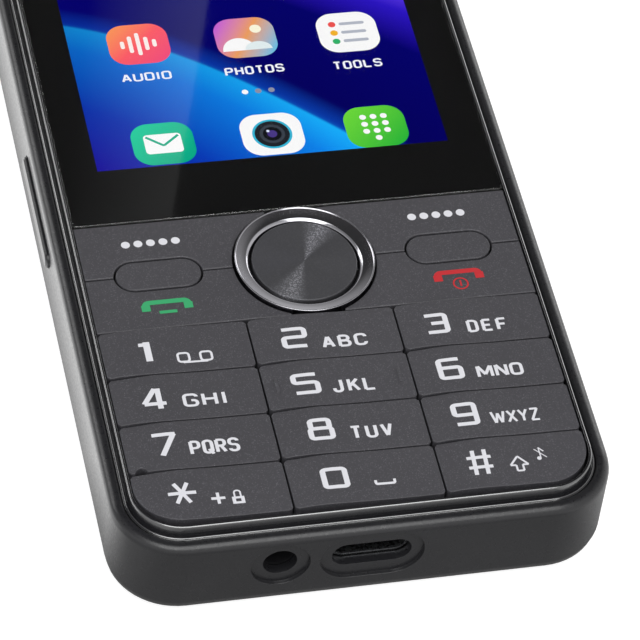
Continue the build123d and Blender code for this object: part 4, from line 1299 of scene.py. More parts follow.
class Pen:
    """Draws strokes of even width by pushing and turning an edge along their middle line."""

    step_mm = 0.35
    turn_step = radians(18)
    lift_mm = 0.004
    shortest_mm = 1e-4
    # Least radius of a bend, as a share of the stroke's width.
    tightest_bend = 0.55

    def __init__(self) -> None:
        """Start an empty sheet, in millimetres."""
        self.sheet = bmesh.new()
        self.strokes = 0

    def push(self, edge: Edge, heading: Vector, length: float) -> Edge:
        """Extrude an edge straight on.

        Args:
            edge: Edge across the stroke.
            heading: Direction of the stroke.
            length: Length to draw.

        Returns:
            The edge at the far end.
        """
        steps = max(1, ceil(length / self.step_mm))
        for _ in range(steps):
            made = bmesh.ops.extrude_edge_only(self.sheet, edges=[edge])["geom"]
            edge = next(item for item in made if isinstance(item, Edge))
            bmesh.ops.translate(self.sheet, verts=edge.verts, vec=heading * (length / steps))
        return edge

    def turn(self, edge: Edge, pivot: Vector, angle: float) -> Edge:
        """Spin an edge round a corner.

        Args:
            edge: Edge across the stroke.
            pivot: Centre of the corner.
            angle: Turn in radians, positive to the left.

        Returns:
            The edge at the far end.
        """
        made = bmesh.ops.spin(
            self.sheet,
            geom=[edge, *edge.verts],
            cent=pivot,
            axis=(0, 0, 1),
            angle=angle,
            steps=max(2, ceil(abs(angle) / self.turn_step)),
            use_duplicate=False,
        )["geom_last"]
        return next(item for item in made if isinstance(item, Edge))

    def stroke(
        self, points: list[Point], width: float, corner: float, closed: bool = False
    ) -> None:
        """Draw one stroke.

        Args:
            points: Corners of its middle line.
            width: Width of the stroke.
            corner: Radius of the middle line at each corner.
            closed: Whether it returns to its start.
        """
        places = [Vector((x, y, 0)) for x, y in points]
        if closed:
            middle = (places[0] + places[-1]) / 2
            places = [middle, *places, middle]
        headings = [(b - a).normalized() for a, b in zip(places, places[1:])]
        turns = [a.to_2d().angle_signed(b.to_2d()) * -1 for a, b in zip(headings, headings[1:])]
        radius = max(corner, self.tightest_bend * width)
        cuts = [radius * abs(sin(turn / 2) / cos(turn / 2)) for turn in turns]
        across = Vector((-headings[0].y, headings[0].x, 0)) * (width / 2)
        ends = [self.sheet.verts.new(places[0] - across), self.sheet.verts.new(places[0] + across)]
        edge = self.sheet.edges.new(ends)
        started = set(self.sheet.verts) - set(ends)
        for index, heading in enumerate(headings):
            before = cuts[index - 1] if index else 0.0
            after = cuts[index] if index < len(cuts) else 0.0
            length = (places[index + 1] - places[index]).length - before - after
            if length > self.shortest_mm:
                edge = self.push(edge, heading, length)
            if index < len(turns):
                left = Vector((-heading.y, heading.x, 0))
                centre = sum((vert.co for vert in edge.verts), Vector()) / 2
                pivot = centre + left * copysign(radius, turns[index])
                edge = self.turn(edge, pivot, turns[index])
        rise = self.lift_mm * self.strokes
        for vert in self.sheet.verts:
            if vert not in started:
                vert.co.z = rise
        self.strokes += 1

    def dot(self, x: float, y: float, radius: float) -> None:
        """Print a round dot.

        Args:
            x: Place of its middle across the body.
            y: Place of its middle along the body.
            radius: Its radius.
        """
        place = Matrix.Translation((x, y, 0))
        made = bmesh.ops.create_circle(
            self.sheet, cap_ends=True, segments=24, radius=radius, matrix=place
        )
        for vert in made["verts"]:
            vert.co.z = self.lift_mm * self.strokes
        self.strokes += 1


Strokes = list[list[Point]]

# Middle lines of the open strokes of each sign in a unit cell, x to the right and y up.
SIGNS: dict[str, Strokes] = {
    "1": [[(0.0, 1.0), (1.0, 1.0)], [(0.85, 1.16), (0.85, -0.08)], [(1.0, 1.16), (1.0, -0.08)]],
    "2": [[(0.0, 1.0), (1.0, 1.0), (1.0, 0.53), (0.0, 0.53), (0.0, 0.0), (1.0, 0.0)]],
    "3": [[(0.0, 1.0), (1.0, 1.0), (1.0, 0.0), (0.0, 0.0)], [(0.25, 0.52), (1.0, 0.52)]],
    "4": [[(0.62, 1.0), (0.0, 0.28)], [(0.0, 0.26), (1.05, 0.26)], [(0.74, 1.0), (0.74, 0.0)]],
    "5": [[(1.0, 1.0), (0.0, 1.0), (0.0, 0.56), (1.0, 0.56), (1.0, 0.0), (0.0, 0.0)]],
    "6": [[(1.0, 1.0), (0.0, 1.0), (0.0, 0.0), (1.0, 0.0), (1.0, 0.56), (0.1, 0.56)]],
    "7": [[(0.0, 1.0), (1.0, 1.0)], [(0.93, 1.0), (0.3, 0.0)]],
    "9": [[(0.0, 0.0), (1.0, 0.0), (1.0, 1.0), (0.0, 1.0), (0.0, 0.46), (0.9, 0.46)]],
    "#": [
        [(0.3, 1.0), (0.24, 0.0)],
        [(0.78, 1.0), (0.72, 0.0)],
        [(0.0, 0.7), (1.0, 0.7)],
        [(0.0, 0.3), (1.0, 0.3)],
    ],
    "*": [[(0.0, 0.5), (1.0, 0.5)], [(0.26, 0.05), (0.74, 0.95)], [(0.74, 0.05), (0.26, 0.95)]],
    "+": [[(0.0, 0.5), (1.0, 0.5)], [(0.5, 0.0), (0.5, 1.0)]],
    "_": [[(0.0, 0.9), (0.0, 0.0), (1.0, 0.0), (1.0, 0.9)]],
    "A": [[(0.0, 0.0), (0.47, 1.0)], [(0.53, 1.0), (1.0, 0.0)], [(0.2, 0.3), (0.8, 0.3)]],
    "B": [
        [(0.0, 0.0), (0.0, 1.0)],
        [(0.0, 1.0), (0.92, 1.0), (0.92, 0.53), (0.0, 0.53)],
        [(0.0, 0.5), (1.0, 0.5), (1.0, 0.0), (0.0, 0.0)],
    ],
    "C": [[(1.0, 0.75), (1.0, 1.0), (0.0, 1.0), (0.0, 0.0), (1.0, 0.0), (1.0, 0.25)]],
    "D": [[(0.0, 0.0), (0.0, 1.0)], [(0.0, 1.0), (1.0, 1.0), (1.0, 0.0), (0.0, 0.0)]],
    "E": [
        [(0.0, 0.0), (0.0, 1.0)],
        [(0.0, 1.0), (0.95, 1.0)],
        [(0.0, 0.5), (0.85, 0.5)],
        [(0.0, 0.0), (1.0, 0.0)],
    ],
    "F": [[(0.0, 0.0), (0.0, 1.0)], [(0.0, 1.0), (1.0, 1.0)], [(0.0, 0.5), (0.85, 0.5)]],
    "G": [[(1.0, 0.8), (1.0, 1.0), (0.0, 1.0), (0.0, 0.0), (1.0, 0.0), (1.0, 0.48), (0.55, 0.48)]],
    "H": [[(0.0, 0.0), (0.0, 1.0)], [(1.0, 0.0), (1.0, 1.0)], [(0.0, 0.52), (1.0, 0.52)]],
    "I": [[(0.5, 0.0), (0.5, 1.0)]],
    "J": [[(0.85, 1.0), (0.85, 0.0), (0.0, 0.0), (0.0, 0.3)]],
    "K": [[(0.0, 0.0), (0.0, 1.0)], [(0.95, 1.0), (0.1, 0.42)], [(0.4, 0.6), (1.0, 0.0)]],
    "L": [[(0.0, 1.0), (0.0, 0.0)], [(0.0, 0.0), (1.0, 0.0)]],
    "M": [
        [(0.0, 0.0), (0.0, 1.0)],
        [(1.0, 0.0), (1.0, 1.0)],
        [(0.04, 1.0), (0.5, 0.2)],
        [(0.96, 1.0), (0.5, 0.2)],
    ],
    "N": [[(0.0, 0.0), (0.0, 1.0)], [(1.0, 0.0), (1.0, 1.0)], [(0.04, 1.0), (0.96, 0.0)]],
    "P": [[(0.0, 0.0), (0.0, 1.0)], [(0.0, 1.0), (1.0, 1.0), (1.0, 0.46), (0.0, 0.46)]],
    "Q": [[(0.6, 0.3), (1.05, -0.12)]],
    "R": [
        [(0.0, 0.0), (0.0, 1.0)],
        [(0.0, 1.0), (1.0, 1.0), (1.0, 0.5), (0.0, 0.5)],
        [(0.5, 0.5), (1.0, 0.0)],
    ],
    "S": [
        [
            (1.0, 0.8),
            (1.0, 1.0),
            (0.0, 1.0),
            (0.0, 0.52),
            (1.0, 0.52),
            (1.0, 0.0),
            (0.0, 0.0),
            (0.0, 0.2),
        ]
    ],
    "T": [[(0.0, 1.0), (1.0, 1.0)], [(0.5, 1.0), (0.5, 0.0)]],
    "U": [[(0.0, 1.0), (0.0, 0.0), (1.0, 0.0), (1.0, 1.0)]],
    "V": [[(0.0, 1.0), (0.48, 0.0)], [(0.52, 0.0), (1.0, 1.0)]],
    "W": [
        [(0.0, 1.0), (0.24, 0.0)],
        [(0.26, 0.0), (0.5, 0.85)],
        [(0.5, 0.85), (0.74, 0.0)],
        [(0.76, 0.0), (1.0, 1.0)],
    ],
    "X": [[(0.0, 1.0), (1.0, 0.0)], [(0.0, 0.0), (1.0, 1.0)]],
    "Y": [[(0.0, 1.0), (0.5, 0.45)], [(1.0, 1.0), (0.5, 0.45)], [(0.5, 0.5), (0.5, 0.0)]],
    "Z": [[(0.0, 1.0), (1.0, 1.0)], [(0.95, 1.0), (0.05, 0.0)], [(0.0, 0.0), (1.0, 0.0)]],
}

# Middle lines of the closed strokes, each to be joined back to its start.
LOOPS: dict[str, Strokes] = {
    "0": [[(0.0, 0.0), (0.0, 1.0), (1.0, 1.0), (1.0, 0.0)]],
    "8": [
        [(0.06, 0.54), (0.06, 1.0), (0.94, 1.0), (0.94, 0.54)],
        [(0.0, 0.0), (0.0, 0.54), (1.0, 0.54), (1.0, 0.0)],
    ],
    "O": [[(0.0, 0.0), (0.0, 1.0), (1.0, 1.0), (1.0, 0.0)]],
    "Q": [[(0.0, 0.0), (0.0, 1.0), (1.0, 1.0), (1.0, 0.0)]],
}

# Widths of the signs that are wider or narrower than the others.
SHARES = {"I": 0.4, "J": 0.85, "M": 1.25, "W": 1.45}


@dataclass(frozen=True)
class Legend:
    """One word or sign: its text, the box that it fills, and its strokes, in millimetres.

    Upright strokes are wider than level ones by the contrast.
    """

    text: str
    left: float
    right: float
    bottom: float
    top: float
    width: float
    corner: float
    contrast: float = 1.28
    gap: float = 0.2

    def draw(self, pen: Pen) -> None:
        """Draw the legend with a pen.

        Args:
            pen: Pen on the key's sheet.
        """
        half = self.width / 2
        shares = [SHARES.get(sign, 1.0) for sign in self.text]
        room = self.right - self.left - self.gap * (len(self.text) - 1)
        start = self.left
        for share, sign in zip(shares, self.text):
            cell = room * share / sum(shares)
            x0 = start + half
            start += cell + self.gap
            wide = cell / self.contrast - self.width
            high = self.top - self.bottom - self.width

            def spread(points: list[Point], x0: float = x0) -> list[Point]:
                """Place unit points in the sign's cell."""
                return [(x0 + x * wide, self.bottom + half + y * high) for x, y in points]

            before = set(pen.sheet.verts)
            for points in LOOPS.get(sign, []):
                pen.stroke(spread(points), self.width, self.corner, closed=True)
            for points in SIGNS.get(sign, []):
                pen.stroke(spread(points), self.width, self.corner)
            drawn = [vert for vert in pen.sheet.verts if vert not in before]
            anchor = Matrix.Translation((-(x0 - half), 0, 0))
            bmesh.ops.scale(pen.sheet, vec=(self.contrast, 1, 1), space=anchor, verts=drawn)


def digit(text: str, *box: float) -> Legend:
    """Large sign of a key, in its box: left, right, bottom and top."""
    return Legend(text, *box, width=0.5, corner=0.3)


def letters(text: str, *box: float) -> Legend:
    """Small letters of a key in their box, set closer where there are four."""
    return Legend(text, *box, width=0.32, corner=0.34, gap=0.16 if len(text) > 3 else 0.38)


@dataclass
class KeyPrint:
    """Everything printed on the keys."""

    frame: Frame
    clearance_mm: float = 0.012
    above_mm: float = 20.0
    key_top_mm: float = 12.38
    dots: int = 5
    dot_pitch_mm: float = 1.49
    dot_radius_mm: float = 0.53
    legends: dict[str, list[Legend]] = field(
        default_factory=lambda: {
            "key_1": [digit("1", -22.15, -20.5, 26.55, 29.4)],
            "key_2": [
                digit("2", -5.35, -2.15, 26.45, 29.6),
                letters("ABC", -0.7, 4.7, 26.1, 27.95),
            ],
            "key_3": [
                digit("3", 11.65, 14.65, 26.5, 29.6),
                letters("DEF", 16.65, 21.55, 26.3, 28.2),
            ],
            "key_4": [
                digit("4", -23.0, -19.95, 19.2, 22.7),
                letters("GHI", -18.25, -13.1, 19.4, 21.35),
            ],
            "key_5": [digit("5", -5.5, -2.2, 19.4, 22.55), letters("JKL", -0.7, 4.2, 19.3, 21.3)],
            "key_6": [
                digit("6", 11.65, 14.7, 19.4, 22.65),
                Legend("MNO", 16.15, 21.7, 19.3, 21.2, 0.34, 0.36, 1.15),
            ],
            "key_7": [
                digit("7", -23.05, -19.75, 12.35, 15.9),
                letters("PQRS", -18.8, -13.05, 12.35, 14.4),
            ],
            "key_8": [digit("8", -5.1, -2.0, 12.5, 15.7), letters("TUV", -0.3, 4.7, 12.25, 14.2)],
            "key_9": [
                digit("9", 11.8, 14.85, 12.4, 15.8),
                Legend("WXYZ", 16.15, 21.95, 12.3, 14.2, 0.28, 0.2, 1.1, 0.12),
            ],
            "key_star": [
                Legend("*", -22.65, -19.0, 5.2, 8.8, 0.46, 0.3, 1.0),
                Legend("+", -17.9, -15.95, 4.9, 6.85, 0.36, 0.3, 1.0),
            ],
            "key_0": [
                digit("0", -5.0, -1.85, 5.35, 8.4),
                Legend("_", 0.9, 3.4, 5.35, 6.3, 0.32, 0.18, 1.0),
            ],
            "key_hash": [Legend("#", 11.7, 15.0, 4.9, 8.9, 0.44, 0.3, 1.1)],
        }
    )

    def tape_sign(self, pen: Pen) -> None:
        """Voice mail sign of key 1: two squares joined by a line below.

        Args:
            pen: Pen on the key's sheet.
        """
        for x in (-17.6, -14.95):
            pen.stroke(
                [(x, 26.2), (x, 27.5), (x + 1.3, 27.5), (x + 1.3, 26.2)], 0.28, 0.35, closed=True
            )
        pen.stroke([(-17.1, 26.1), (-14.2, 26.1)], 0.28, 0.3)

    def padlock(self, pen: Pen) -> None:
        """Padlock of the star key.

        Args:
            pen: Pen on the key's sheet.
        """
        pen.stroke([(-15.05, 5.9), (-15.05, 6.75), (-14.35, 6.75), (-14.35, 5.9)], 0.2, 0.3)
        pen.stroke([(-15.4, 5.75), (-14.0, 5.75)], 0.3, 0.2)
        pen.stroke([(-15.4, 5.03), (-14.0, 5.03)], 0.3, 0.2)
        for x in (-15.2, -14.2):
            pen.stroke([(x, 5.85), (x, 4.95)], 0.4, 0.2)

    def shift_and_note(self, pen: Pen) -> None:
        """Outlined arrow and crossed note of the hash key.

        Args:
            pen: Pen on the key's sheet.
        """
        arrow = [
            (17.42, 5.2),
            (17.42, 6.05),
            (16.75, 6.05),
            (17.8, 7.3),
            (18.85, 6.05),
            (18.18, 6.05),
            (18.18, 5.2),
        ]
        for start, end in zip(arrow, arrow[1:] + arrow[:1]):
            pen.stroke([start, end], 0.24, 0.1)
        pen.dot(20.3, 6.75, 0.26)
        pen.stroke([(20.5, 6.75), (20.5, 8.3)], 0.14, 0.1)
        pen.stroke([(20.5, 8.25), (21.0, 7.7)], 0.16, 0.1)
        pen.stroke([(19.95, 8.1), (21.2, 6.8)], 0.12, 0.1)

    def settle(self, pen: Pen, carrier: Thing, ink: str) -> None:
        """Lay a drawn sheet on the key that carries it.

        Args:
            pen: Pen whose sheet is laid down.
            carrier: Key that the print lies on.
            ink: Name of its finish.
        """
        source = bmesh.new()
        source.from_mesh(carrier.data)
        top = BVHTree.FromBMesh(source)
        sheet = pen.sheet
        bmesh.ops.remove_doubles(sheet, verts=sheet.verts, dist=0.001)
        bmesh.ops.recalc_face_normals(sheet, faces=sheet.faces)
        for face in sheet.faces:
            if face.normal.z < 0:
                face.normal_flip()
        for vert in sheet.verts:
            rise = vert.co.z
            start = self.frame.at(vert.co.x, vert.co.y, self.above_mm)
            hit = top.ray_cast(start, Vector((0, 0, -1)))[0]
            height = hit.z if hit else self.key_top_mm * MM
            vert.co = Vector((start.x, start.y, height + (self.clearance_mm + rise) * MM))
        source.free()
        body = body_of(carrier)[0]
        name = carrier.name.replace("_fine", "_print")
        self.frame.piece(name, sheet, self.frame.palette.take(ink), body, "key_plastic")

    def build(self, keys: dict[str, Thing]) -> None:
        """Print every key.

        Args:
            keys: The finer key pieces by node name.
        """
        extras = {
            "key_1": self.tape_sign,
            "key_star": self.padlock,
            "key_hash": self.shift_and_note,
        }
        for node, legends in self.legends.items():
            pen = Pen()
            for legend in legends:
                legend.draw(pen)
            if node in extras:
                extras[node](pen)
            self.settle(pen, keys[node], "legend_ink_light_grey")
        for node, first, y in (("soft_left_key", -20.48, 45.1), ("soft_right_key", 14.16, 45.35)):
            pen = Pen()
            for index in range(self.dots):
                pen.dot(first + self.dot_pitch_mm * index, y, self.dot_radius_mm)
            self.settle(pen, keys[node], "legend_ink_light_grey")
        for node, x, y, ink in (
            ("call_key", -17.35, 35.5, "legend_ink_green"),
            ("end_key", 17.58, 35.8, "legend_ink_red"),
        ):
            pen = Pen()
            pen.stroke(
                [(x - 2.6, y - 0.3), (x - 2.6, y), (x + 2.6, y), (x + 2.6, y - 0.3)], 0.66, 0.55
            )
            for side in (-1, 1):
                pen.stroke([(x + side * 2.5, y - 0.1), (x + side * 2.5, y - 1.05)], 1.05, 0.5)
            if node == "call_key":
                pen.stroke([(x - 1.05, y - 1.35), (x + 1.05, y - 1.35)], 0.46, 0.3)
            else:
                circle = [
                    (x - 0.85, y - 2.5),
                    (x - 0.85, y - 0.8),
                    (x + 0.85, y - 0.8),
                    (x + 0.85, y - 2.5),
                ]
                pen.stroke(circle, 0.2, 0.84, closed=True)
                pen.stroke([(x, y - 1.15), (x, y - 2.1)], 0.22, 0.2)
            self.settle(pen, keys[node], ink)


# Keys


@dataclass
class Keypad:
    """The keys, the ring and the centre key with the fine edges of moulded parts."""

    frame: Frame
    body: Body
    key_round_mm: float = 0.09
    key_segments: int = 3
    key_crease_degrees: float = 38.0
    ring_centre_y_mm: float = 40.07
    ring_inner_mm: float = 6.5
    ring_underside_mm: float = 11.3
    ring_steps: int = 128
    ring_crease_degrees: float = 50.0
    foot_mm: float = 0.8
    foot_reach_mm: float = 7.05
    pieces: dict[str, Thing] = field(default_factory=dict)

    def refined_key(self, node: str) -> Thing:
        """Replace a key by a copy with rounded edges.

        Args:
            node: Name of the key.

        Returns:
            The copy.
        """
        return self.body.refined(
            node, self.key_round_mm, self.key_segments, self.key_crease_degrees
        )

    def build_keys(self) -> None:
        """Make finer copies of the keypad's keys, all but the centre key."""
        for node in self.frame.loaded["nodes"]:
            is_key = node.startswith("key_") or node.endswith("_key")
            if is_key and node not in ("volume_key", "ok_key"):
                self.pieces[node] = self.refined_key(node)

    def build_ring(self) -> None:
        """Spin the plated ring: bright outer chamfer, dished band and bright inner lip."""
        low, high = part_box("nav_ring")
        outer, inner, crest = high.x / MM, self.ring_inner_mm, high.z / MM
        underside = self.ring_underside_mm * MM
        # Radius and height of the outline, from the inner foot over both lips to the outer foot.
        outline = [
            (inner, self.ring_underside_mm),
            (inner, crest - 0.86),
            (inner + 0.03, crest - 0.72),
            (inner + 0.1, crest - 0.64),
            (inner + 0.24, crest - 0.55),
            (inner + 0.33, crest - 0.48),
            (inner + 0.38, crest - 0.45),
            (inner + 0.44, crest - 0.43),
            (inner + 0.47, crest - 0.423),
            (inner + 0.7, crest - 0.37),
            (inner + 1.0, crest - 0.28),
            (inner + 1.3, crest - 0.18),
            (inner + 1.58, crest - 0.084),
            (inner + 1.62, crest - 0.07),
            (inner + 1.67, crest - 0.02),
            (inner + 1.71, crest),
            (outer - 0.05, crest - 0.01),
            (outer - 0.01, crest - 0.04),
            (outer, crest - 0.1),
            (outer, self.ring_underside_mm),
        ]
        mesh = bmesh.new()
        verts = [mesh.verts.new((x * MM, 0, z * MM)) for x, z in outline]
        edges = [mesh.edges.new(pair) for pair in zip(verts, verts[1:] + verts[:1])]
        bmesh.ops.spin(
            mesh,
            geom=[*verts, *edges],
            cent=(0, 0, 0),
            axis=(0, 0, 1),
            angle=2 * pi,
            steps=self.ring_steps,
            use_merge=True,
        )
        bmesh.ops.remove_doubles(mesh, verts=mesh.verts, dist=0.001 * MM)
        bmesh.ops.recalc_face_normals(mesh, faces=mesh.faces)
        bmesh.ops.translate(mesh, verts=mesh.verts, vec=self.frame.at(0, self.ring_centre_y_mm, 0))
        for x, y in ((1, 0), (0, 1), (-1, 0), (0, -1)):
            foot = bmesh.ops.create_cube(mesh, size=1.0)["verts"]
            size = (self.foot_mm * MM, self.foot_mm * MM, underside - low.z)
            bmesh.ops.scale(mesh, vec=size, verts=foot)
            reach = self.foot_reach_mm
            place = self.frame.at(reach * x, self.ring_centre_y_mm + reach * y, 0)
            place.z = (underside + low.z) / 2
            bmesh.ops.translate(mesh, verts=foot, vec=place)
        self.frame.piece(
            "nav_ring_fine",
            mesh,
            self.frame.palette.take("dark_chrome_plate"),
            "nav_ring",
            "ring_metal",
            smooth_degrees=self.ring_crease_degrees,
            replaces="nav_ring",
        )

    def build_centre_key(self) -> None:
        """Make the centre key with a turned, lacquered face."""
        middle = self.frame.at(0, self.ring_centre_y_mm, 0)
        finish = SpunMetal("spun_aluminium_lacquered", (middle.x, middle.y))
        piece = self.refined_key("ok_key")
        piece.data.materials.clear()
        piece.data.materials.append(self.frame.palette.keep(finish))


# Display


class Symbol(Enum):
    """Sign that a tile shows."""

    BARS = "bars"
    LIST = "list"
    HILLS = "hills"
    ENVELOPE = "envelope"
    DIAL = "dial"
    LENS = "lens"


@dataclass(frozen=True)
class Tile:
    """One rounded tile of the picture with its sign and its name."""

    symbol: Symbol
    x: float
    y: float
    colours: tuple[str, ...]
    label: str = ""
    heading_degrees: float = -45.0


def disc(radius_mm: float, segments: int = 40) -> Mesh:
    """Flat round shape about the origin.

    Args:
        radius_mm: Its radius.
        segments: Sides of its outline.

    Returns:
        A new bmesh.
    """
    mesh = bmesh.new()
    bmesh.ops.create_circle(mesh, cap_ends=True, segments=segments, radius=radius_mm * MM)
    return mesh


@dataclass
class Display:
    """Lit picture under the glass and the black border printed on the glass's underside."""

    frame: Frame
    half_width_mm: float = 21.6
    bottom_mm: float = 57.76
    top_mm: float = 115.36
    level_mm: float = 11.36
    layer_mm: float = 0.008
    tile_mm: Point = (7.6, 6.9)
    tile_corner_mm: float = 2.3
    label_height_mm: float = 1.4
    label_drop_mm: float = 2.95
    label_half_mm_per_letter: float = 0.62
    page_dots_y_mm: float = 68.95
    sweep_centre_mm: Point = (-90.0, -60.0)
    sweep_reach_mm: Point = (122.0, 214.0)
    border_gap_mm: float = 0.01
    inks: dict[str, LitInk | LitSweep] = field(default_factory=dict)
    sheets: dict[str, Mesh] = field(default_factory=dict)
    tiles: list[Tile] = field(
        default_factory=lambda: [
            Tile(Symbol.BARS, -12.9, 78.7, ("#ff9a5a", "#ff5a66", "#f2447a"), "AUDIO"),
            Tile(Symbol.HILLS, 0.5, 78.3, ("#c45ae0", "#f0a060", "#4fc3f0"), "PHOTOS", -30.0),
            Tile(Symbol.LIST, 13.4, 77.8, ("#ffffff",), "TOOLS"),
            Tile(Symbol.ENVELOPE, -12.9, 61.5, ("#1fd0a0", "#08a884")),
            Tile(Symbol.LENS, 0.5, 61.5, ("#ffffff",)),
            Tile(Symbol.DIAL, 13.35, 61.25, ("#6fdc3c", "#22b53a")),
        ]
    )

    def put(
        self, ink: str, shape: Mesh, x: float, y: float, layer: int, turn_degrees: float = 0.0
    ) -> None:
        """Lay a flat shape on the picture, joined with the others of its ink.

        Args:
            ink: Hex colour of a plain ink, or name of one kept before.
            shape: Flat mesh about the origin, freed here.
            x: Place across the display.
            y: Place from the keypad end.
            layer: Number of layers under it.
            turn_degrees: Turn about its middle.
        """
        if ink not in self.inks:
            self.inks[ink] = LitInk("lit_ink_" + ink[1:], (ink,))
        turned = Matrix.Rotation(radians(turn_degrees), 4, "Z")
        height = self.level_mm + self.layer_mm * layer
        shape.transform(Matrix.Translation(self.frame.at(x, y, height)) @ turned)
        scrap = bpy.data.meshes.new("scrap")
        shape.to_mesh(scrap)
        shape.free()
        self.sheets.setdefault(ink, bmesh.new()).from_mesh(scrap)
        bpy.data.meshes.remove(scrap)

    def write(self, legends: list[Legend], ink: str, layer: int) -> None:
        """Write signs on the picture.

        Args:
            legends: Words with the boxes that they fill.
            ink: Their ink.
            layer: Number of layers under them.
        """
        pen = Pen()
        for legend in legends:
            legend.draw(pen)
        for vert in pen.sheet.verts:
            vert.co = Vector((vert.co.x * MM, (vert.co.y - self.frame.half_length_mm) * MM, 0))
        self.put(ink, pen.sheet, 0, self.frame.half_length_mm, layer)

    def draw_bars(self, tile: Tile) -> None:
        """Five sound bars."""
        for place, height in zip((-2, -1, 0, 1, 2), (1.3, 2.9, 3.9, 2.3, 1.3)):
            self.put("#fff4f0", rounded_plate(0.52, height, 0.25), tile.x + place, tile.y, 2)

    def draw_list(self, tile: Tile) -> None:
        """Three coloured points with grey lines.

        Args:
            tile: Tile that carries it.
        """
        for row, colour in zip((1.5, 0.0, -1.5), ("#f0524f", "#f7b52c", "#2fb36a")):
            self.put(colour, disc(0.48), tile.x - 1.75, tile.y + row, 2)
            self.put("#b4b9c6", rounded_plate(3.2, 0.5, 0.24), tile.x + 0.75, tile.y + row, 2)

    def draw_hills(self, tile: Tile) -> None:
        """Sun over two hills.

        Args:
            tile: Tile that carries it.
        """
        self.put("#fffbe0", disc(0.72), tile.x + 1.5, tile.y + 1.4, 2)
        hills = ((-1.1, 2.1, 2.2, "#ffffff", 2), (1.3, 1.7, 1.4, "#e6f2f4", 3))
        for x, width, height, colour, layer in hills:
            hill = disc(1.0, 48)
            bmesh.ops.scale(hill, vec=(width, height, 1), verts=hill.verts)
            bmesh.ops.bisect_plane(
                hill,
                geom=[*hill.verts, *hill.edges, *hill.faces],
                plane_co=(0, 0, 0),
                plane_no=(0, -1, 0),
                clear_outer=True,
            )
            self.put(colour, hill, tile.x + x, tile.y - 2.2, layer)

    def draw_envelope(self, tile: Tile) -> None:
        """Envelope with its flap.

        Args:
            tile: Tile that carries it.
        """
        self.put("#ffffff", rounded_plate(4.6, 3.2, 0.5), tile.x, tile.y, 2)
        pen = Pen()
        pen.stroke([(-2.0, 1.25), (0.0, -0.35), (2.0, 1.25)], 0.34, 0.25)
        bmesh.ops.scale(pen.sheet, vec=(MM, MM, 0), verts=pen.sheet.verts)
        self.put("#12b08c", pen.sheet, tile.x, tile.y, 3)

    def draw_dial(self, tile: Tile) -> None:
        """Ten points of a dial pad.

        Args:
            tile: Tile that carries it.
        """
        places = [(x, y) for y in (1.7, 0.5, -0.7) for x in (-1.3, 0, 1.3)] + [(0, -1.9)]
        for x, y in places:
            self.put("#ffffff", disc(0.42, 24), tile.x + x, tile.y + y, 2)

    def draw_lens(self, tile: Tile) -> None:
        """Rings and glint of a lens.

        Args:
            tile: Tile that carries it.
        """
        rings = (
            (2.45, "#35b6d8"),
            (2.15, "#22262c"),
            (1.55, "#3c434d"),
            (1.15, "#15171c"),
            (0.6, "#4a3a86"),
        )
        for layer, (radius, colour) in enumerate(rings, 2):
            self.put(colour, disc(radius, 48), tile.x, tile.y, layer)
        self.put("#dfe6ff", disc(0.2, 20), tile.x - 0.45, tile.y + 0.5, 8)

    def draw_tile(self, tile: Tile) -> None:
        """Lay one tile with its sign and its name.

        Args:
            tile: Tile to draw.
        """
        ink = "tile_" + tile.symbol.value
        middle = self.frame.at(tile.x, tile.y, 0)
        self.inks[ink] = LitInk(
            "lit_" + ink, tile.colours, (middle.x, middle.y), tile.heading_degrees
        )
        self.put(ink, rounded_plate(*self.tile_mm, self.tile_corner_mm, 10), tile.x, tile.y, 1)
        draw = {
            Symbol.BARS: self.draw_bars,
            Symbol.LIST: self.draw_list,
            Symbol.HILLS: self.draw_hills,
            Symbol.ENVELOPE: self.draw_envelope,
            Symbol.DIAL: self.draw_dial,
            Symbol.LENS: self.draw_lens,
        }
        draw[tile.symbol](tile)
        if tile.label:
            half = self.label_half_mm_per_letter * len(tile.label)
            low = tile.y - self.tile_mm[1] / 2 - self.label_drop_mm
            box = (tile.x - half, tile.x + half, low, low + self.label_height_mm)
            self.write([Legend(tile.label, *box, 0.24, 0.24, 1.2)], "#f4f6ff", 2)

    def draw_upper_part(self) -> None:
        """Own clock, date line and status signs above the tiles."""
        self.write(
            [
                Legend("10", -11.4, -2.2, 97.0, 104.5, 0.8, 1.2, 1.1),
                Legend("24", 2.2, 11.4, 97.0, 104.5, 0.8, 1.2, 1.1),
            ],
            "#ffffff",
            2,
        )
        for y in (99.2, 102.3):
            self.put("#ffffff", disc(0.55), 0, y, 2)
        self.put("#c8ccf4", rounded_plate(12, 0.8, 0.39), 0, 94.6, 2)
        for step in range(4):
            height = 0.6 + 0.35 * step
            bar = rounded_plate(0.45, height, 0.1)
            self.put("#f4f6ff", bar, -19.3 + 0.7 * step, 112.6 + height / 2, 2)
        self.put("#f4f6ff", rounded_plate(2.6, 1.4, 0.35), 18.6, 113.3, 2)
        self.put("#07047a", rounded_plate(2.2, 1.0, 0.2), 18.6, 113.3, 3)
        self.put("#f4f6ff", rounded_plate(1.5, 0.7, 0.1), 18.35, 113.3, 4)
        self.put("#f4f6ff", rounded_plate(0.25, 0.6, 0.1), 20.1, 113.3, 2)

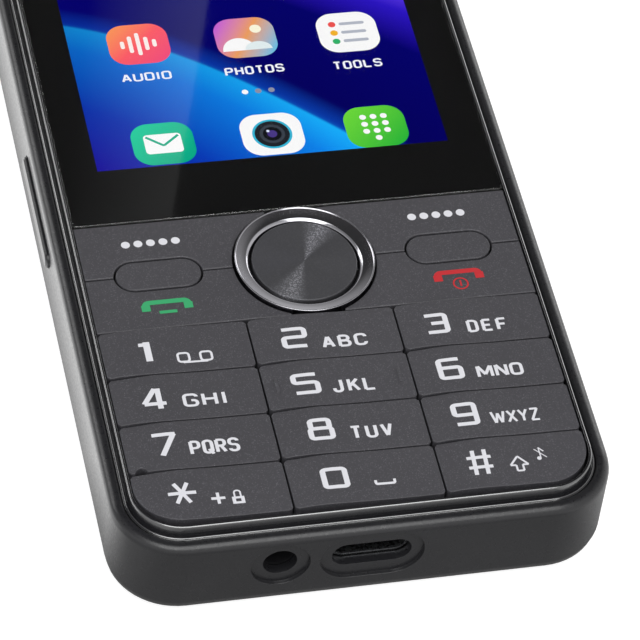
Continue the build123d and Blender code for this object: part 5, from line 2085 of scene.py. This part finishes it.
    def build_border(self) -> None:
        """Print the black border on the underside of the glass, open over the picture."""
        mesh = self.frame.solid("touch_glass")
        low = min(vert.co.z for vert in mesh.verts)
        near_low = low + 0.05 * MM
        others = [
            face
            for face in mesh.faces
            if face.normal.z > -0.9 or face.calc_center_median().z > near_low
        ]
        bmesh.ops.delete(mesh, geom=others, context="FACES")
        half = self.half_width_mm
        cuts = (
            (half, 0, (1, 0, 0)),
            (-half, 0, (1, 0, 0)),
            (0, self.bottom_mm, (0, 1, 0)),
            (0, self.top_mm, (0, 1, 0)),
        )
        for x, y, normal in cuts:
            whole = [*mesh.verts, *mesh.edges, *mesh.faces]
            bmesh.ops.bisect_plane(
                mesh, geom=whole, plane_co=self.frame.at(x, y, 0), plane_no=normal
            )
        near, far = self.frame.at(-half, self.bottom_mm, 0), self.frame.at(half, self.top_mm, 0)
        window = []
        for face in mesh.faces:
            middle = face.calc_center_bounds()
            if near.x < middle.x < far.x and near.y < middle.y < far.y:
                window.append(face)
        bmesh.ops.delete(mesh, geom=window, context="FACES")
        bmesh.ops.reverse_faces(mesh, faces=mesh.faces)
        bmesh.ops.translate(mesh, verts=mesh.verts, vec=(0, 0, self.border_gap_mm * MM))
        ink = self.frame.palette.take("black_border_print")
        self.frame.piece("border_print", mesh, ink, "phone", "display")

    def build(self) -> None:
        """Build the picture and the border."""
        middle = self.frame.at(*self.sweep_centre_mm, 0)
        self.inks["sweep"] = LitSweep(
            "lit_wallpaper_sweeps", (middle.x, middle.y), *self.sweep_reach_mm
        )
        length = self.top_mm - self.bottom_mm
        picture = rounded_plate(2 * self.half_width_mm, length, 0)
        self.put("sweep", picture, 0, self.bottom_mm + length / 2, 0)
        for tile in self.tiles:
            self.draw_tile(tile)
        for x, ink in ((-1.4, "#ffffff"), (0.25, "#8f93a8"), (1.9, "#8f93a8")):
            self.put(ink, disc(0.4, 24), x, self.page_dots_y_mm, 2)
        self.draw_upper_part()
        for ink, mesh in self.sheets.items():
            material = self.frame.palette.keep(self.inks[ink])
            self.frame.piece("picture_" + ink.lstrip("#"), mesh, material, "phone", "display")
        self.build_border()


def main() -> None:
    """Build the studio and the phone's pieces in order."""
    logging.basicConfig(level=logging.INFO, format="%(name)s: %(message)s")
    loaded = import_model()
    palette = Palette()
    frame = Frame(loaded, palette)
    Studio().build()
    frame.dress_nodes()
    body = Body(frame)
    body.build()
    keypad = Keypad(frame, body)
    keypad.build_keys()
    keypad.build_ring()
    keypad.build_centre_key()
    KeyPrint(frame).build(keypad.pieces)
    Display(frame).build()


if __name__ == "__main__":
    main()
